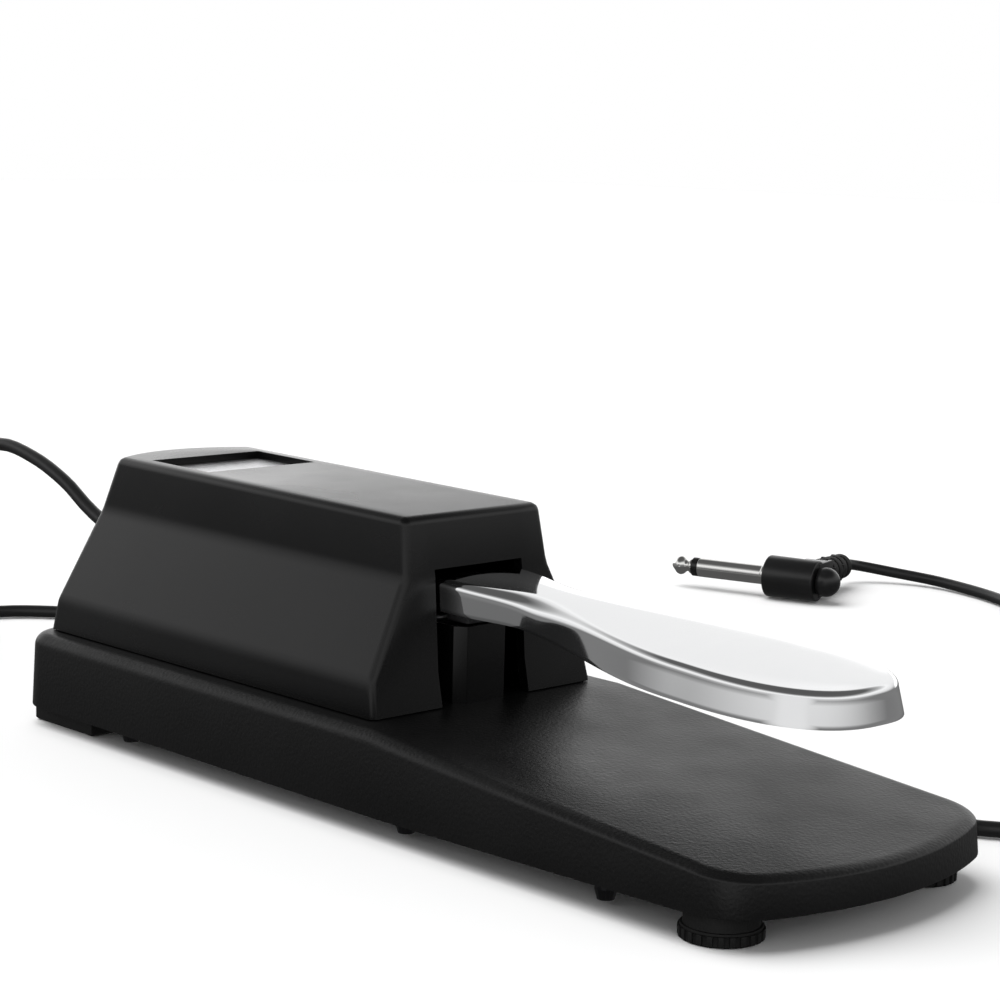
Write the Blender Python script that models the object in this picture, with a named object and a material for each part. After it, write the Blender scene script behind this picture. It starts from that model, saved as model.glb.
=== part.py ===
"""Sustain pedal: a low base, a three-facet cover, a chrome lever on a hidden pivot, a switch,
and a cord with a right-angle jack plug. Front of the pedal faces -Y, up is +Z."""
import math

import bmesh
import bpy
from mathutils import Matrix, Vector

MM = 0.001
GAP = 0.3 * MM

# Base
BASE_HALF_LENGTH = 126.4 * MM
BASE_HALF_WIDTH = 40.6 * MM
BASE_TOP = 23.0 * MM
BASE_RIM = 4.6 * MM
BASE_WALL = 2.5 * MM
BASE_FILLET = 3.1 * MM
BASE_DRAFT = 0.8 * MM
FRONT_ARC = 85.0 * MM
REAR_ARC = 100.0 * MM
FRONT_CORNER = 14.0 * MM
REAR_CORNER = 10.0 * MM
SLOPE_START = -13.0 * MM  # the top runs down towards the front from here
TOP_SLOPE = 0.08
RIM_START = -21.4 * MM  # the rim rises towards the front from here
RIM_SLOPE = 0.02
PLATE_THICK = 1.5 * MM
PLATE_RECESS = 0.8 * MM
PEG_FLOOR = 1.2 * MM  # the plate screws have tall heads that end this far above the floor

# Cover. Each level has its height, half width, front y, rear y at the middle, rear arc radius,
# and 1 where the level tilts with the top or 0 where it is flat.
COVER_WALL = 2.6 * MM
COVER_EDGE = 1.9 * MM
COVER_TILT = 0.0105  # the top rises towards the rear
COVER_LEVELS = [
    (20.0 * MM, 34.15 * MM, -8.9 * MM, 123.3 * MM, 92.0 * MM, 0.0),
    (30.9 * MM, 33.0 * MM, -6.5 * MM, 121.3 * MM, 88.0 * MM, 0.0),
    (52.2 * MM, 22.1 * MM, -4.8 * MM, 117.4 * MM, 42.0 * MM, 1.0),
    (65.75 * MM, 20.8 * MM, -2.7 * MM, 112.0 * MM, 37.0 * MM, 1.0),
]
MOUTH_HALF_WIDTH = 13.3 * MM
MOUTH_TOP = 53.8 * MM
RECESS_HALF_WIDTH = 16.6 * MM
RECESS_FRONT = 74.0 * MM
RECESS_REAR = 97.1 * MM
RECESS_DEPTH = 2.7 * MM
BADGE_THICK = 0.8 * MM

# Lever
MOUTH_Y = -8.3 * MM
NOSE_TIP = -118.0 * MM
NOSE_CENTRE = -88.0 * MM
NOSE_HALF_WIDTH = 20.5 * MM
NOSE_POWER = 2.25  # 2 would make the nose half an ellipse; more makes it blunter
WAIST_Y = -27.0 * MM
WAIST_HALF_WIDTH = 9.9 * MM
FLARE_END = -82.0 * MM
NECK_HALF_WIDTH = 12.7 * MM
LEVER_REAR = 62.0 * MM
LEVER_TOP = 51.5 * MM
LEVER_SLOPE = 0.045
LEVER_BOW = 0.000104 / MM
LEVER_CROWN = 0.8 * MM
LEVER_EDGE = 1.8 * MM
LEVER_WALL = 1.6 * MM
SKIRT_DEPTH = 7.2 * MM
SKIRT_FLARE = 1.3 * MM
LEVER_STRIPS = 6

# Pivot and motion
PIVOT_Y = 45.0 * MM
PIVOT_Z = 45.5 * MM
PIN_RADIUS = 2.0 * MM
PRESS_ANGLE = math.radians(6.5)
SPRING_Y = 8.6 * MM
SWITCH_Y = 24.4 * MM
REST_STOP_Y = 56.0 * MM

# Feet
FOOT_X = 30.2 * MM
FOOT_Y = -106.6 * MM
FOOT_RADIUS = 7.8 * MM
FOOT_FLANGE_RADIUS = 8.45 * MM
FOOT_FLANGE_THICK = 2.1 * MM
FOOT_TEETH = 24
PAD_FRONT = 94.0 * MM
PAD_HALF_WIDTH = 36.6 * MM
PAD_INSET = 0.4 * MM  # from the base's outline at the rear
PAD_STEP = 3.5 * MM  # how much narrower the pad is where it meets the plate

# Cord and plug
CORD_DIAMETER = 3.6 * MM
CORD_RADIUS = CORD_DIAMETER / 2
FLOOR_LIFT = 0.1 * MM
GLAND_Z = 40.0 * MM
GLAND_TILT = math.radians(10.2)
GLAND_REACH = 20.0 * MM
COIL_CENTRE = Vector((76.0, 172.0, 0.0)) * MM
COIL_TURNS_WIDE = 3
COIL_INNER = 17.8 * MM
COIL_PITCH = 3.7 * MM
COIL_LIFT = 0.9 * MM
PLUG_PLACE = Vector((246.0, 118.0, 6.95)) * MM
PLUG_TURN = math.radians(106.7)  # the shaft's heading, seen from above
PLUG_BODY_RADIUS = 6.85 * MM
PLUG_BODY_LENGTH = 17.9 * MM
SHAFT_RADIUS = 3.175 * MM
SHAFT_LENGTH = 35.0 * MM
RELIEF_DROP = 12.4 * MM  # from the body's face to the relief's axis
RELIEF_START = 12.2 * MM
RELIEF_LENGTH = 20.8 * MM
INNER_LEAD_RADIUS = 1.3 * MM  # the thinner lead inside the cover

MATERIALS = {
    "moulded_black": ((0.008, 0.008, 0.0085), 0.42, 0.0),
    "grained_black": ((0.01, 0.01, 0.0105), 0.62, 0.0),
    "chrome": ((0.86, 0.86, 0.87), 0.06, 1.0),
    "steel": ((0.55, 0.55, 0.57), 0.32, 1.0),
    "silver_badge": ((0.62, 0.62, 0.64), 0.3, 1.0),
    "rubber": ((0.01, 0.01, 0.01), 0.8, 0.0),
    "felt": ((0.10, 0.10, 0.11), 0.95, 0.0),
    "nylon": ((0.8, 0.79, 0.74), 0.5, 0.0),
    "circuit_green": ((0.02, 0.16, 0.07), 0.4, 0.0),
    "cord_black": ((0.009, 0.009, 0.0095), 0.5, 0.0),
    "insulator": ((0.01, 0.01, 0.01), 0.4, 0.0),
}


# ---- tools -------------------------------------------------------------------------------------


def clear_scene():
    for obj in list(bpy.data.objects):
        bpy.data.objects.remove(obj, do_unlink=True)


def material(name):
    found = bpy.data.materials.get(name)
    if found:
        return found
    colour, roughness, metallic = MATERIALS[name]
    made = bpy.data.materials.new(name)
    made.use_nodes = True
    shader = made.node_tree.nodes["Principled BSDF"]
    shader.inputs["Base Color"].default_value = (*colour, 1.0)
    shader.inputs["Roughness"].default_value = roughness
    shader.inputs["Metallic"].default_value = metallic
    made.diffuse_color = (*colour, 1.0)
    return made


def finish_mesh(name, bm, look, smooth=30.0):
    """Turn a bmesh into a named object with a material and smooth rounds."""
    bmesh.ops.recalc_face_normals(bm, faces=bm.faces)
    mesh = bpy.data.meshes.new(name)
    bm.to_mesh(mesh)
    bm.free()
    mesh.shade_smooth()
    mesh.set_sharp_from_angle(angle=math.radians(smooth))
    obj = bpy.data.objects.new(name, mesh)
    bpy.context.scene.collection.objects.link(obj)
    if look:
        mesh.materials.append(material(look))
    return obj


def loft(rings, close_ends=True):
    """Skin rings of equal length, low to high, and fill the first and last."""
    bm = bmesh.new()
    rows = [[bm.verts.new(p) for p in ring] for ring in rings]
    for low, high in zip(rows, rows[1:]):
        for i in range(len(low)):
            j = (i + 1) % len(low)
            bm.faces.new((low[i], low[j], high[j], high[i]))
    if close_ends:
        bm.faces.new(list(reversed(rows[0])))
        bm.faces.new(rows[-1])
    return bm


def turned_bmesh(profile, place, segments=24):
    """Spin a profile of (radius, height) about place's Z axis. Zero radii close on the axis;
    a profile with none is a closed loop, and makes a ring."""
    bm = bmesh.new()
    rows = []
    for radius, height in profile:
        if radius < 1e-9:
            rows.append([bm.verts.new(place @ Vector((0, 0, height)))])
            continue
        rows.append(
            [
                bm.verts.new(
                    place
                    @ Vector(
                        (
                            radius * math.cos(2 * math.pi * i / segments),
                            radius * math.sin(2 * math.pi * i / segments),
                            height,
                        )
                    )
                )
                for i in range(segments)
            ]
        )
    closed = len(rows[0]) > 1 and len(rows[-1]) > 1
    pairs = list(zip(rows, rows[1:]))
    if closed:
        pairs.append((rows[-1], rows[0]))
    for low, high in pairs:
        for i in range(segments):
            j = (i + 1) % segments
            if len(low) == 1:
                bm.faces.new((low[0], high[j], high[i]))
            elif len(high) == 1:
                bm.faces.new((low[i], low[j], high[0]))
            else:
                bm.faces.new((low[i], low[j], high[j], high[i]))
    return bm


def turned(name, profile, look, place=None, segments=24):
    return finish_mesh(name, turned_bmesh(profile, place or Matrix(), segments), look)


def solid_profile(radius, low, high, edge=0.0):
    """A round bar's profile, with a small chamfer at both ends."""
    if not edge:
        return [(0, low), (radius, low), (radius, high), (0, high)]
    return [
        (0, low),
        (radius - edge, low),
        (radius, low + edge),
        (radius, high - edge),
        (radius - edge, high),
        (0, high),
    ]


def tube_profile(outer, inner, low, high):
    return [(outer, low), (outer, high), (inner, high), (inner, low)]


def at(x, y, z):
    return Matrix.Translation((x, y, z))


def along_x(x, y, z):
    return at(x, y, z) @ Matrix.Rotation(math.radians(90), 4, "Y")


def box(name, low, high, look, edge=0.0, segments=2):
    bm = bmesh.new()
    bmesh.ops.create_cube(bm, size=1.0)
    size = Vector(high) - Vector(low)
    middle = (Vector(high) + Vector(low)) / 2
    bmesh.ops.scale(bm, vec=size, verts=bm.verts)
    bmesh.ops.translate(bm, vec=middle, verts=bm.verts)
    if edge:
        bmesh.ops.bevel(
            bm, geom=list(bm.edges), offset=edge, segments=segments, profile=0.5, affect="EDGES"
        )
    return finish_mesh(name, bm, look)


def boolean(target, other, how="DIFFERENCE"):
    """Add a Boolean to target and mark the other object as a cutter."""
    other.hide_render = True
    other.display_type = "WIRE"
    step = target.modifiers.new(other.name, "BOOLEAN")
    step.operation = how
    step.solver = "EXACT"
    step.object = other
    return other


def cut(target, other):
    return boolean(target, other)


def join(target, other):
    return boolean(target, other, "UNION")


def bore(target, name, radius, low, high, place, segments=20):
    return cut(target, turned(name, solid_profile(radius, low, high), None, place, segments))


def arc_points(centre, radius, start, end, steps):
    return [
        Vector(
            (
                centre[0] + radius * math.cos(start + (end - start) * i / steps),
                centre[1] + radius * math.sin(start + (end - start) * i / steps),
            )
        )
        for i in range(steps + 1)
    ]


def corner_centre(half_width, arc_centre_y, arc_radius, corner, side):
    """Where a corner circle touches both the straight side and the end arc."""
    x = half_width - corner
    reach = arc_radius - corner
    return x, arc_centre_y + side * math.sqrt(reach * reach - x * x)


def bowed_outline(inset, end_steps=8, corner_steps=5):
    """The base's plan: straight sides, bowed ends and round corners, inset all round."""
    width = BASE_HALF_WIDTH - inset
    points = []
    for side, arc, corner in ((-1, FRONT_ARC, FRONT_CORNER), (1, REAR_ARC, REAR_CORNER)):
        radius, small = arc - inset, max(corner - inset, 1.0 * MM)
        centre_y = side * (BASE_HALF_LENGTH - arc)
        cx, cy = corner_centre(width, centre_y, radius, small, side)
        lean = math.atan2(abs(cy - centre_y), cx)
        if side < 0:
            points += arc_points((-cx, cy), small, math.pi, math.pi + lean, corner_steps)
            points += arc_points((0, centre_y), radius, math.pi + lean, 2 * math.pi - lean, end_steps)[1:-1]
            points += arc_points((cx, cy), small, 2 * math.pi - lean, 2 * math.pi, corner_steps)
        else:
            points += arc_points((cx, cy), small, 0, lean, corner_steps)
            points += arc_points((0, centre_y), radius, lean, math.pi - lean, end_steps)[1:-1]
            points += arc_points((-cx, cy), small, math.pi - lean, math.pi, corner_steps)
    return points


def top_height(y):
    return BASE_TOP + TOP_SLOPE * min(0.0, y - SLOPE_START)


def rim_height(y):
    return BASE_RIM + RIM_SLOPE * max(0.0, RIM_START - y)


def slant(bm, low_height, high_height, drop=0.0, lift=0.0):
    """Bend a block that was built between two flat levels so that its top follows the base's
    top, less drop, and its bottom follows the rim, plus lift."""
    for bend_y in (SLOPE_START, RIM_START):
        everything = list(bm.verts) + list(bm.edges) + list(bm.faces)
        bmesh.ops.bisect_plane(bm, geom=everything, plane_co=(0, bend_y, 0), plane_no=(0, 1, 0))
    for v in bm.verts:
        share = (v.co.z - low_height) / (high_height - low_height)
        low = rim_height(v.co.y) + lift
        high = top_height(v.co.y) - drop
        v.co.z = low + share * (high - low)


# ---- base --------------------------------------------------------------------------------------

SCREW_SPOTS = [(side * 33.9 * MM, y * MM) for y in (-79.5, -20.0, 81.0) for side in (-1, 1)]
COVER_SCREW_SPOTS = [(side * 27.4 * MM, y * MM) for y in (4.0, 99.0) for side in (-1, 1)]


def base_block(name, look):
    rings = []
    levels = [(0.0, BASE_RIM)]
    side_top = BASE_TOP - BASE_FILLET
    levels.append((BASE_DRAFT, side_top))
    for step in range(1, 5):
        turn = math.radians(90 * step / 4)
        inset = BASE_DRAFT + BASE_FILLET * (1 - math.cos(turn))
        levels.append((inset, side_top + BASE_FILLET * math.sin(turn)))
    for inset, height in levels:
        rings.append([Vector((p.x, p.y, height)) for p in bowed_outline(inset)])
    bm = loft(rings)
    slant(bm, BASE_RIM, BASE_TOP)
    return finish_mesh(name, bm, look)


def make_base():
    base = base_block("base_shell", "grained_black")
    # hollow underside
    inner = [Vector((p.x, p.y, 0)) for p in bowed_outline(BASE_WALL + BASE_DRAFT / 2)]
    low, high = 0.0, BASE_TOP
    bm = loft([[Vector((p.x, p.y, z)) for p in inner] for z in (low, high)])
    slant(bm, low, high, drop=BASE_WALL, lift=-8.0 * MM)
    cut(base, finish_mesh("base_hollow", bm, None))
    # bosses for the plate screws
    for i, (x, y) in enumerate(SCREW_SPOTS):
        low_z = rim_height(y) + PLATE_RECESS + PLATE_THICK + GAP
        high_z = top_height(y) - BASE_WALL / 2
        join(base, turned(f"base_boss_{i}", solid_profile(3.6 * MM, low_z, high_z), None, at(x, y, 0), 16))
    for i, (x, y) in enumerate(SCREW_SPOTS):
        low_z = rim_height(y)
        bore(base, f"base_boss_bore_{i}", 1.5 * MM, low_z, low_z + 9.5 * MM, at(x, y, 0), 12)
    # holes for the cover screws
    for i, (x, y) in enumerate(COVER_SCREW_SPOTS):
        bore(base, f"base_cover_hole_{i}", 1.9 * MM, 15 * MM, 30 * MM, at(x, y, 0), 12)
    # post that stands between the lever's skirts and carries the down stop
    post_low, post_high = BASE_TOP - 1.0 * MM, stop_pad_low() - GAP
    front, back = MOUTH_Y + 0.6 * MM, MOUTH_Y + 9.0 * MM
    plan = [
        (-6.0 * MM, front),
        (6.0 * MM, front),
        (8.0 * MM, front + 2.6 * MM),
        (8.0 * MM, back),
        (-8.0 * MM, back),
        (-8.0 * MM, front + 2.6 * MM),
    ]
    join(
        base,
        finish_mesh(
            "front_post", loft([[Vector((x, y, z)) for x, y in plan] for z in (post_low, post_high)]), None
        ),
    )
    return base


def make_bottom_plate():
    inset = BASE_WALL + BASE_DRAFT / 2 + GAP
    low, high = 0.0, 1.0
    plan = bowed_outline(inset)
    bm = loft([[Vector((p.x, p.y, z)) for p in plan] for z in (low, high)])
    everything = list(bm.verts) + list(bm.edges) + list(bm.faces)
    bmesh.ops.bisect_plane(bm, geom=everything, plane_co=(0, RIM_START, 0), plane_no=(0, 1, 0))
    for v in bm.verts:
        v.co.z = rim_height(v.co.y) + PLATE_RECESS + v.co.z * PLATE_THICK
    plate = finish_mesh("bottom_plate", bm, "steel")
    for i, (x, y) in enumerate(SCREW_SPOTS):
        bore(plate, f"plate_hole_{i}", 1.8 * MM, 0, 20 * MM, at(x, y, 0), 12)
    return plate


def pan_screw(name, x, y, under_head, length, head_radius=2.2 * MM, shank=1.2 * MM, head=2.0 * MM):
    """A screw that points up, its head below under_head, with a cross recess cut in the head."""
    profile = [
        (0, under_head - head),
        (head_radius * 0.75, under_head - head),
        (head_radius, under_head - head * 0.55),
        (head_radius, under_head),
        (shank, under_head),
        (shank, under_head + length - shank),
        (0, under_head + length),
    ]
    screw = turned(name, profile, "steel", at(x, y, 0), 16)
    depth = head * 0.6
    for turn, (a, b) in enumerate(((1.3 * MM, 0.28 * MM), (0.28 * MM, 1.3 * MM))):
        bottom = under_head - head
        low = (x - a, y - b, bottom - 1 * MM)
        high = (x + a, y + b, bottom + depth)
        cut(screw, box(f"{name}_slot_{turn}", low, high, None))
    return screw


def make_base_screws():
    for i, (x, y) in enumerate(SCREW_SPOTS):
        under_head = rim_height(y) + PLATE_RECESS - GAP
        head = under_head - PEG_FLOOR
        pan_screw(f"plate_screw_{i + 1}", x, y, under_head, 9.0 * MM, 2.4 * MM, 1.2 * MM, head)
    for i, (x, y) in enumerate(COVER_SCREW_SPOTS):
        roof = BASE_TOP - BASE_WALL
        pan_screw(f"cover_screw_{i + 1}", x, y, roof - GAP, 11.0 * MM, 2.8 * MM, 1.35 * MM)


def make_feet():
    for name, side in (("left", -1), ("right", 1)):
        x, y = side * FOOT_X, FOOT_Y
        seat = rim_height(y + FOOT_RADIUS) + PLATE_RECESS - GAP
        teeth = []
        for z in (0.0, FOOT_FLANGE_THICK):
            ring = []
            for k in range(FOOT_TEETH * 2):
                angle = math.pi * k / FOOT_TEETH
                radius = FOOT_FLANGE_RADIUS - (0.55 * MM if k % 2 else 0.0)
                ring.append(Vector((x + radius * math.cos(angle), y + radius * math.sin(angle), z)))
            teeth.append(ring)
        foot = finish_mesh(f"front_foot_{name}", loft(teeth), "rubber")
        stem = solid_profile(FOOT_RADIUS - 0.4 * MM, FOOT_FLANGE_THICK / 2, seat)
        join(foot, turned(f"foot_stem_{name}", stem, None, at(x, y, 0), 32))
        bore(foot, f"foot_recess_{name}", 3.4 * MM, -1 * MM, 2.6 * MM, at(x, y, 0), 20)
        bore(foot, f"foot_bore_{name}", 1.5 * MM, 1 * MM, 12 * MM, at(x, y, 0), 12)
        head_top = 2.6 * MM - GAP
        pan_screw(f"foot_screw_{name}", x, y, head_top, 3.6 * MM, 2.6 * MM, 1.2 * MM, 1.6 * MM)


def pad_ring(inset, z):
    """The base's rear outline, inset, cut off square at the sides and the front."""
    side = PAD_HALF_WIDTH + PAD_INSET - inset
    front = PAD_FRONT + inset - PAD_INSET
    arc_y, radius, small = BASE_HALF_LENGTH - REAR_ARC, REAR_ARC - inset, REAR_CORNER - inset
    cx, cy = corner_centre(BASE_HALF_WIDTH - inset, arc_y, radius, small, 1)
    corner_y = cy + math.sqrt(small * small - (side - cx) ** 2)
    lean = math.atan2(cy - arc_y, cx)
    rear = arc_points((0, arc_y), radius, lean, math.pi - lean, 8)
    plan = [(-side, front), (side, front), (side, corner_y)]
    plan += [(p.x, p.y) for p in rear] + [(-side, corner_y)]
    return [Vector((x, y, z)) for x, y in plan]


def make_rear_pad():
    """A slab under the rim with a smaller step on top that meets the bottom plate."""
    seat = BASE_RIM - GAP
    narrow = PAD_INSET + PAD_STEP
    levels = [
        (PAD_INSET + 0.5 * MM, 0.0),
        (PAD_INSET, 0.5 * MM),
        (PAD_INSET, seat),
        (narrow, seat),
        (narrow, seat + PLATE_RECESS),
    ]
    rings = [pad_ring(inset, z) for inset, z in levels]
    return finish_mesh("rear_pad", loft(rings), "rubber")


# ---- cover -------------------------------------------------------------------------------------


def cover_ring(height, half_width, front, rear, arc, tilt, inset=0.0, drop=0.0, steps=8):
    half = half_width - inset
    front_y, rear_y, radius = front + inset, rear - inset, arc - inset
    lean = math.asin(half / radius)
    points = [Vector((-half, front_y)), Vector((half, front_y))]
    points += arc_points((0, rear_y - radius), radius, math.pi / 2 - lean, math.pi / 2 + lean, steps)
    return [Vector((p.x, p.y, height - drop + tilt * COVER_TILT * (p.y - front))) for p in points]


def cover_top(y):
    return COVER_LEVELS[-1][0] + COVER_TILT * (y - COVER_LEVELS[-1][2])


def gland_place():
    """The point where the cord's axis meets the rear wall, with Z pointing out of it."""
    low, high = COVER_LEVELS[1], COVER_LEVELS[2]
    share = (GLAND_Z - low[0]) / (high[0] - low[0])
    y = low[3] + share * (high[3] - low[3])
    return at(0, y, GLAND_Z) @ Matrix.Rotation(GLAND_TILT - math.pi / 2, 4, "X")


def make_cover():
    bm = loft([cover_ring(*level) for level in COVER_LEVELS])
    sharp = [e for e in bm.edges if len(e.link_faces) == 2 and e.calc_face_angle() > math.radians(14)]
    bmesh.ops.bevel(bm, geom=sharp, offset=COVER_EDGE, segments=3, profile=0.5, affect="EDGES")
    cover = finish_mesh("top_cover", bm, "moulded_black")
    # hollow inside, and a flat foot that stands on the base
    inner = []
    for k, level in enumerate(COVER_LEVELS):
        drop = (12 * MM, 0.0, 0.6 * MM, COVER_WALL)[k]
        inner.append(cover_ring(*level, inset=COVER_WALL, drop=drop))
    cut(cover, finish_mesh("cover_hollow", loft(inner), None))
    foot = BASE_TOP + GAP
    cut(cover, box("cover_trim", (-0.06, -0.06, 0.0), (0.06, 0.18, foot), None))
    # tray under the badge recess
    tray_low = (-RECESS_HALF_WIDTH - 2 * MM, RECESS_FRONT - 2 * MM, cover_top(RECESS_FRONT) - 5.2 * MM)
    tray_high = (RECESS_HALF_WIDTH + 2 * MM, RECESS_REAR + 2 * MM, cover_top(RECESS_FRONT) - 1.2 * MM)
    join(cover, box("cover_tray", tray_low, tray_high, None))
    floor = cover_top((RECESS_FRONT + RECESS_REAR) / 2) - RECESS_DEPTH
    recess_low = (-RECESS_HALF_WIDTH, RECESS_FRONT, floor)
    recess_high = (RECESS_HALF_WIDTH, RECESS_REAR, floor + 20 * MM)
    cut(cover, box("cover_recess", recess_low, recess_high, None))
    # screw bosses along the side walls
    for i, (x, y) in enumerate(COVER_SCREW_SPOTS):
        post = solid_profile(3.6 * MM, foot, 33.0 * MM)
        join(cover, turned(f"cover_boss_{i}", post, None, at(x, y, 0), 16))
    for i, (x, y) in enumerate(COVER_SCREW_SPOTS):
        bore(cover, f"cover_bore_{i}", 1.65 * MM, 20 * MM, 32.0 * MM, at(x, y, 0), 12)
    # mouth for the lever, and the cord's hole
    mouth_low = (-MOUTH_HALF_WIDTH, -0.03, 0.018)
    mouth_high = (MOUTH_HALF_WIDTH, 0.5 * MM, MOUTH_TOP)
    cut(cover, box("cover_mouth", mouth_low, mouth_high, None))
    bore(cover, "cover_cord_hole", 4.2 * MM, -12 * MM, 12 * MM, gland_place(), 24)
    return cover


def make_badge():
    floor = cover_top((RECESS_FRONT + RECESS_REAR) / 2) - RECESS_DEPTH + GAP
    low = (-RECESS_HALF_WIDTH + 0.6 * MM, RECESS_FRONT + 0.6 * MM, floor)
    high = (RECESS_HALF_WIDTH - 0.6 * MM, RECESS_REAR - 0.6 * MM, floor + BADGE_THICK)
    return box("badge_plate", low, high, "silver_badge", 0.2 * MM, 1)


# ---- lever and its pivot -----------------------------------------------------------------------


def smoothstep(t):
    t = min(1.0, max(0.0, t))
    return t * t * (3 - 2 * t)


def lever_half_width(y):
    if y > MOUTH_Y:
        return NECK_HALF_WIDTH
    if y > WAIST_Y:
        share = smoothstep((y - WAIST_Y) / (MOUTH_Y - WAIST_Y))
        return WAIST_HALF_WIDTH + (NECK_HALF_WIDTH - WAIST_HALF_WIDTH) * share
    if y > NOSE_CENTRE:
        share = smoothstep((WAIST_Y - y) / (WAIST_Y - FLARE_END))
        return WAIST_HALF_WIDTH + (NOSE_HALF_WIDTH - WAIST_HALF_WIDTH) * share
    reach = (NOSE_CENTRE - y) / (NOSE_CENTRE - NOSE_TIP)
    return NOSE_HALF_WIDTH * max(0.0, 1 - reach**NOSE_POWER) ** (1 / NOSE_POWER)


def lever_top(y):
    s = y - MOUTH_Y
    bow = LEVER_BOW * s * s if s < 0 else 0.0
    return LEVER_TOP + LEVER_SLOPE * s - bow


def lever_side():
    """The lever's right edge in plan, from its rear end to the nose."""
    points = [Vector((NECK_HALF_WIDTH, y * MM)) for y in (62.0, 45.0, 20.0, 0.0)]
    steps = 18
    for i in range(steps + 1):
        y = MOUTH_Y + (NOSE_CENTRE - MOUTH_Y) * i / steps
        points.append(Vector((lever_half_width(y), y)))
    nose_steps = 11
    for i in range(1, nose_steps + 1):
        turn = math.pi / 2 * i / nose_steps
        y = NOSE_CENTRE - (NOSE_CENTRE - NOSE_TIP) * math.sin(turn) ** (2 / NOSE_POWER)
        x = NOSE_HALF_WIDTH * max(0.0, math.cos(turn)) ** (2 / NOSE_POWER)
        points.append(Vector((x, y)))
    return points


def lever_ring(inset, drop, flare=0.0):
    """The lever's outline moved inwards by inset, at drop below its top."""
    side = lever_side()
    moved = []
    for i, p in enumerate(side):
        before = side[max(0, i - 1)]
        after = side[min(len(side) - 1, i + 1)]
        run = (after - before).normalized()
        outward = Vector((-run.y, run.x))
        if i == 0:
            outward = Vector((1, 0))
        if i == len(side) - 1:
            outward = Vector((0, -1))
        spread = flare * smoothstep((WAIST_Y - p.y) / (WAIST_Y - FLARE_END))
        q = p + outward * (spread - inset)
        if i == 0:
            q.y -= inset
        moved.append(q)
    moved[-1].x = 0.0
    right = [Vector((q.x, q.y, lever_top(p.y) - drop)) for p, q in zip(side, moved)]
    left = [Vector((-v.x, v.y, v.z)) for v in reversed(right[:-1])]
    rear = [left[-1].lerp(right[0], k / LEVER_STRIPS) for k in range(1, LEVER_STRIPS)]
    return right + left + rear


def lever_bmesh():
    outer = [lever_ring(0.0, SKIRT_DEPTH, SKIRT_FLARE), lever_ring(0.0, LEVER_EDGE + 1.2 * MM, 0.0)]
    for step in range(0, 5):
        turn = math.radians(90 * step / 4)
        inset = LEVER_EDGE * (1 - math.cos(turn))
        outer.append(lever_ring(inset, LEVER_EDGE * (1 - math.sin(turn))))
    inner = [
        lever_ring(LEVER_WALL, SKIRT_DEPTH, SKIRT_FLARE),
        lever_ring(LEVER_WALL, LEVER_WALL + 0.4 * MM, 0.0),
    ]
    bm = bmesh.new()
    outer_rows = [[bm.verts.new(p) for p in ring] for ring in outer]
    inner_rows = [[bm.verts.new(p) for p in ring] for ring in inner]
    count = len(outer_rows[0])

    def skin(low, high, flip=False):
        for i in range(count):
            j = (i + 1) % count
            quad = (low[i], low[j], high[j], high[i])
            bm.faces.new(tuple(reversed(quad)) if flip else quad)

    def cap(row, flip, crown=0.0):
        """Close a ring with strips across it, raised along the middle."""
        tip_index = (count - LEVER_STRIPS) // 2
        last_left = 2 * tip_index
        rear = [row[k] for k in range(count - 1, last_left, -1)]
        lines = [[row[0]] + rear + [row[last_left]]]
        for i in range(1, tip_index):
            right, left = row[i], row[last_left - i]
            line = [right]
            for k in range(1, LEVER_STRIPS):
                share = k / LEVER_STRIPS
                narrow = min(1.0, abs(right.co.x) / (14 * MM))
                bump = crown * (1 - (2 * share - 1) ** 2) * narrow
                spot = right.co.lerp(left.co, share)
                line.append(bm.verts.new((spot.x, spot.y, spot.z + bump)))
            lines.append(line + [left])
        for first, second in zip(lines, lines[1:]):
            for k in range(LEVER_STRIPS):
                quad = (first[k], second[k], second[k + 1], first[k + 1])
                bm.faces.new(tuple(reversed(quad)) if flip else quad)
        for k in range(LEVER_STRIPS):
            tri = (lines[-1][k], row[tip_index], lines[-1][k + 1])
            bm.faces.new(tuple(reversed(tri)) if flip else tri)

    for low, high in zip(outer_rows, outer_rows[1:]):
        skin(low, high)
    skin(inner_rows[0], inner_rows[1], True)
    skin(inner_rows[0], outer_rows[0])
    cap(outer_rows[-1], False, LEVER_CROWN)
    cap(inner_rows[1], True)
    return bm


def make_lever():
    lever = finish_mesh("pedal_lever", lever_bmesh(), "chrome", 35.0)
    for name, side in (("left", -1), ("right", 1)):
        outer_x = side * (NECK_HALF_WIDTH - 0.1 * MM)
        inner_x = side * (NECK_HALF_WIDTH - LEVER_WALL - 0.5 * MM)
        low = (min(outer_x, inner_x), PIVOT_Y - 6 * MM, PIVOT_Z - 5.5 * MM)
        high = (max(outer_x, inner_x), PIVOT_Y + 6 * MM, lever_top(PIVOT_Y) - 3 * MM)
        join(lever, box(f"lever_lug_{name}", low, high, None))
    bore(lever, "lever_bore", PIN_RADIUS + GAP, -20 * MM, 20 * MM, along_x(0, PIVOT_Y, PIVOT_Z), 20)
    return lever


EAR_INNER = 14.9 * MM
EAR_OUTER = 16.9 * MM


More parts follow.
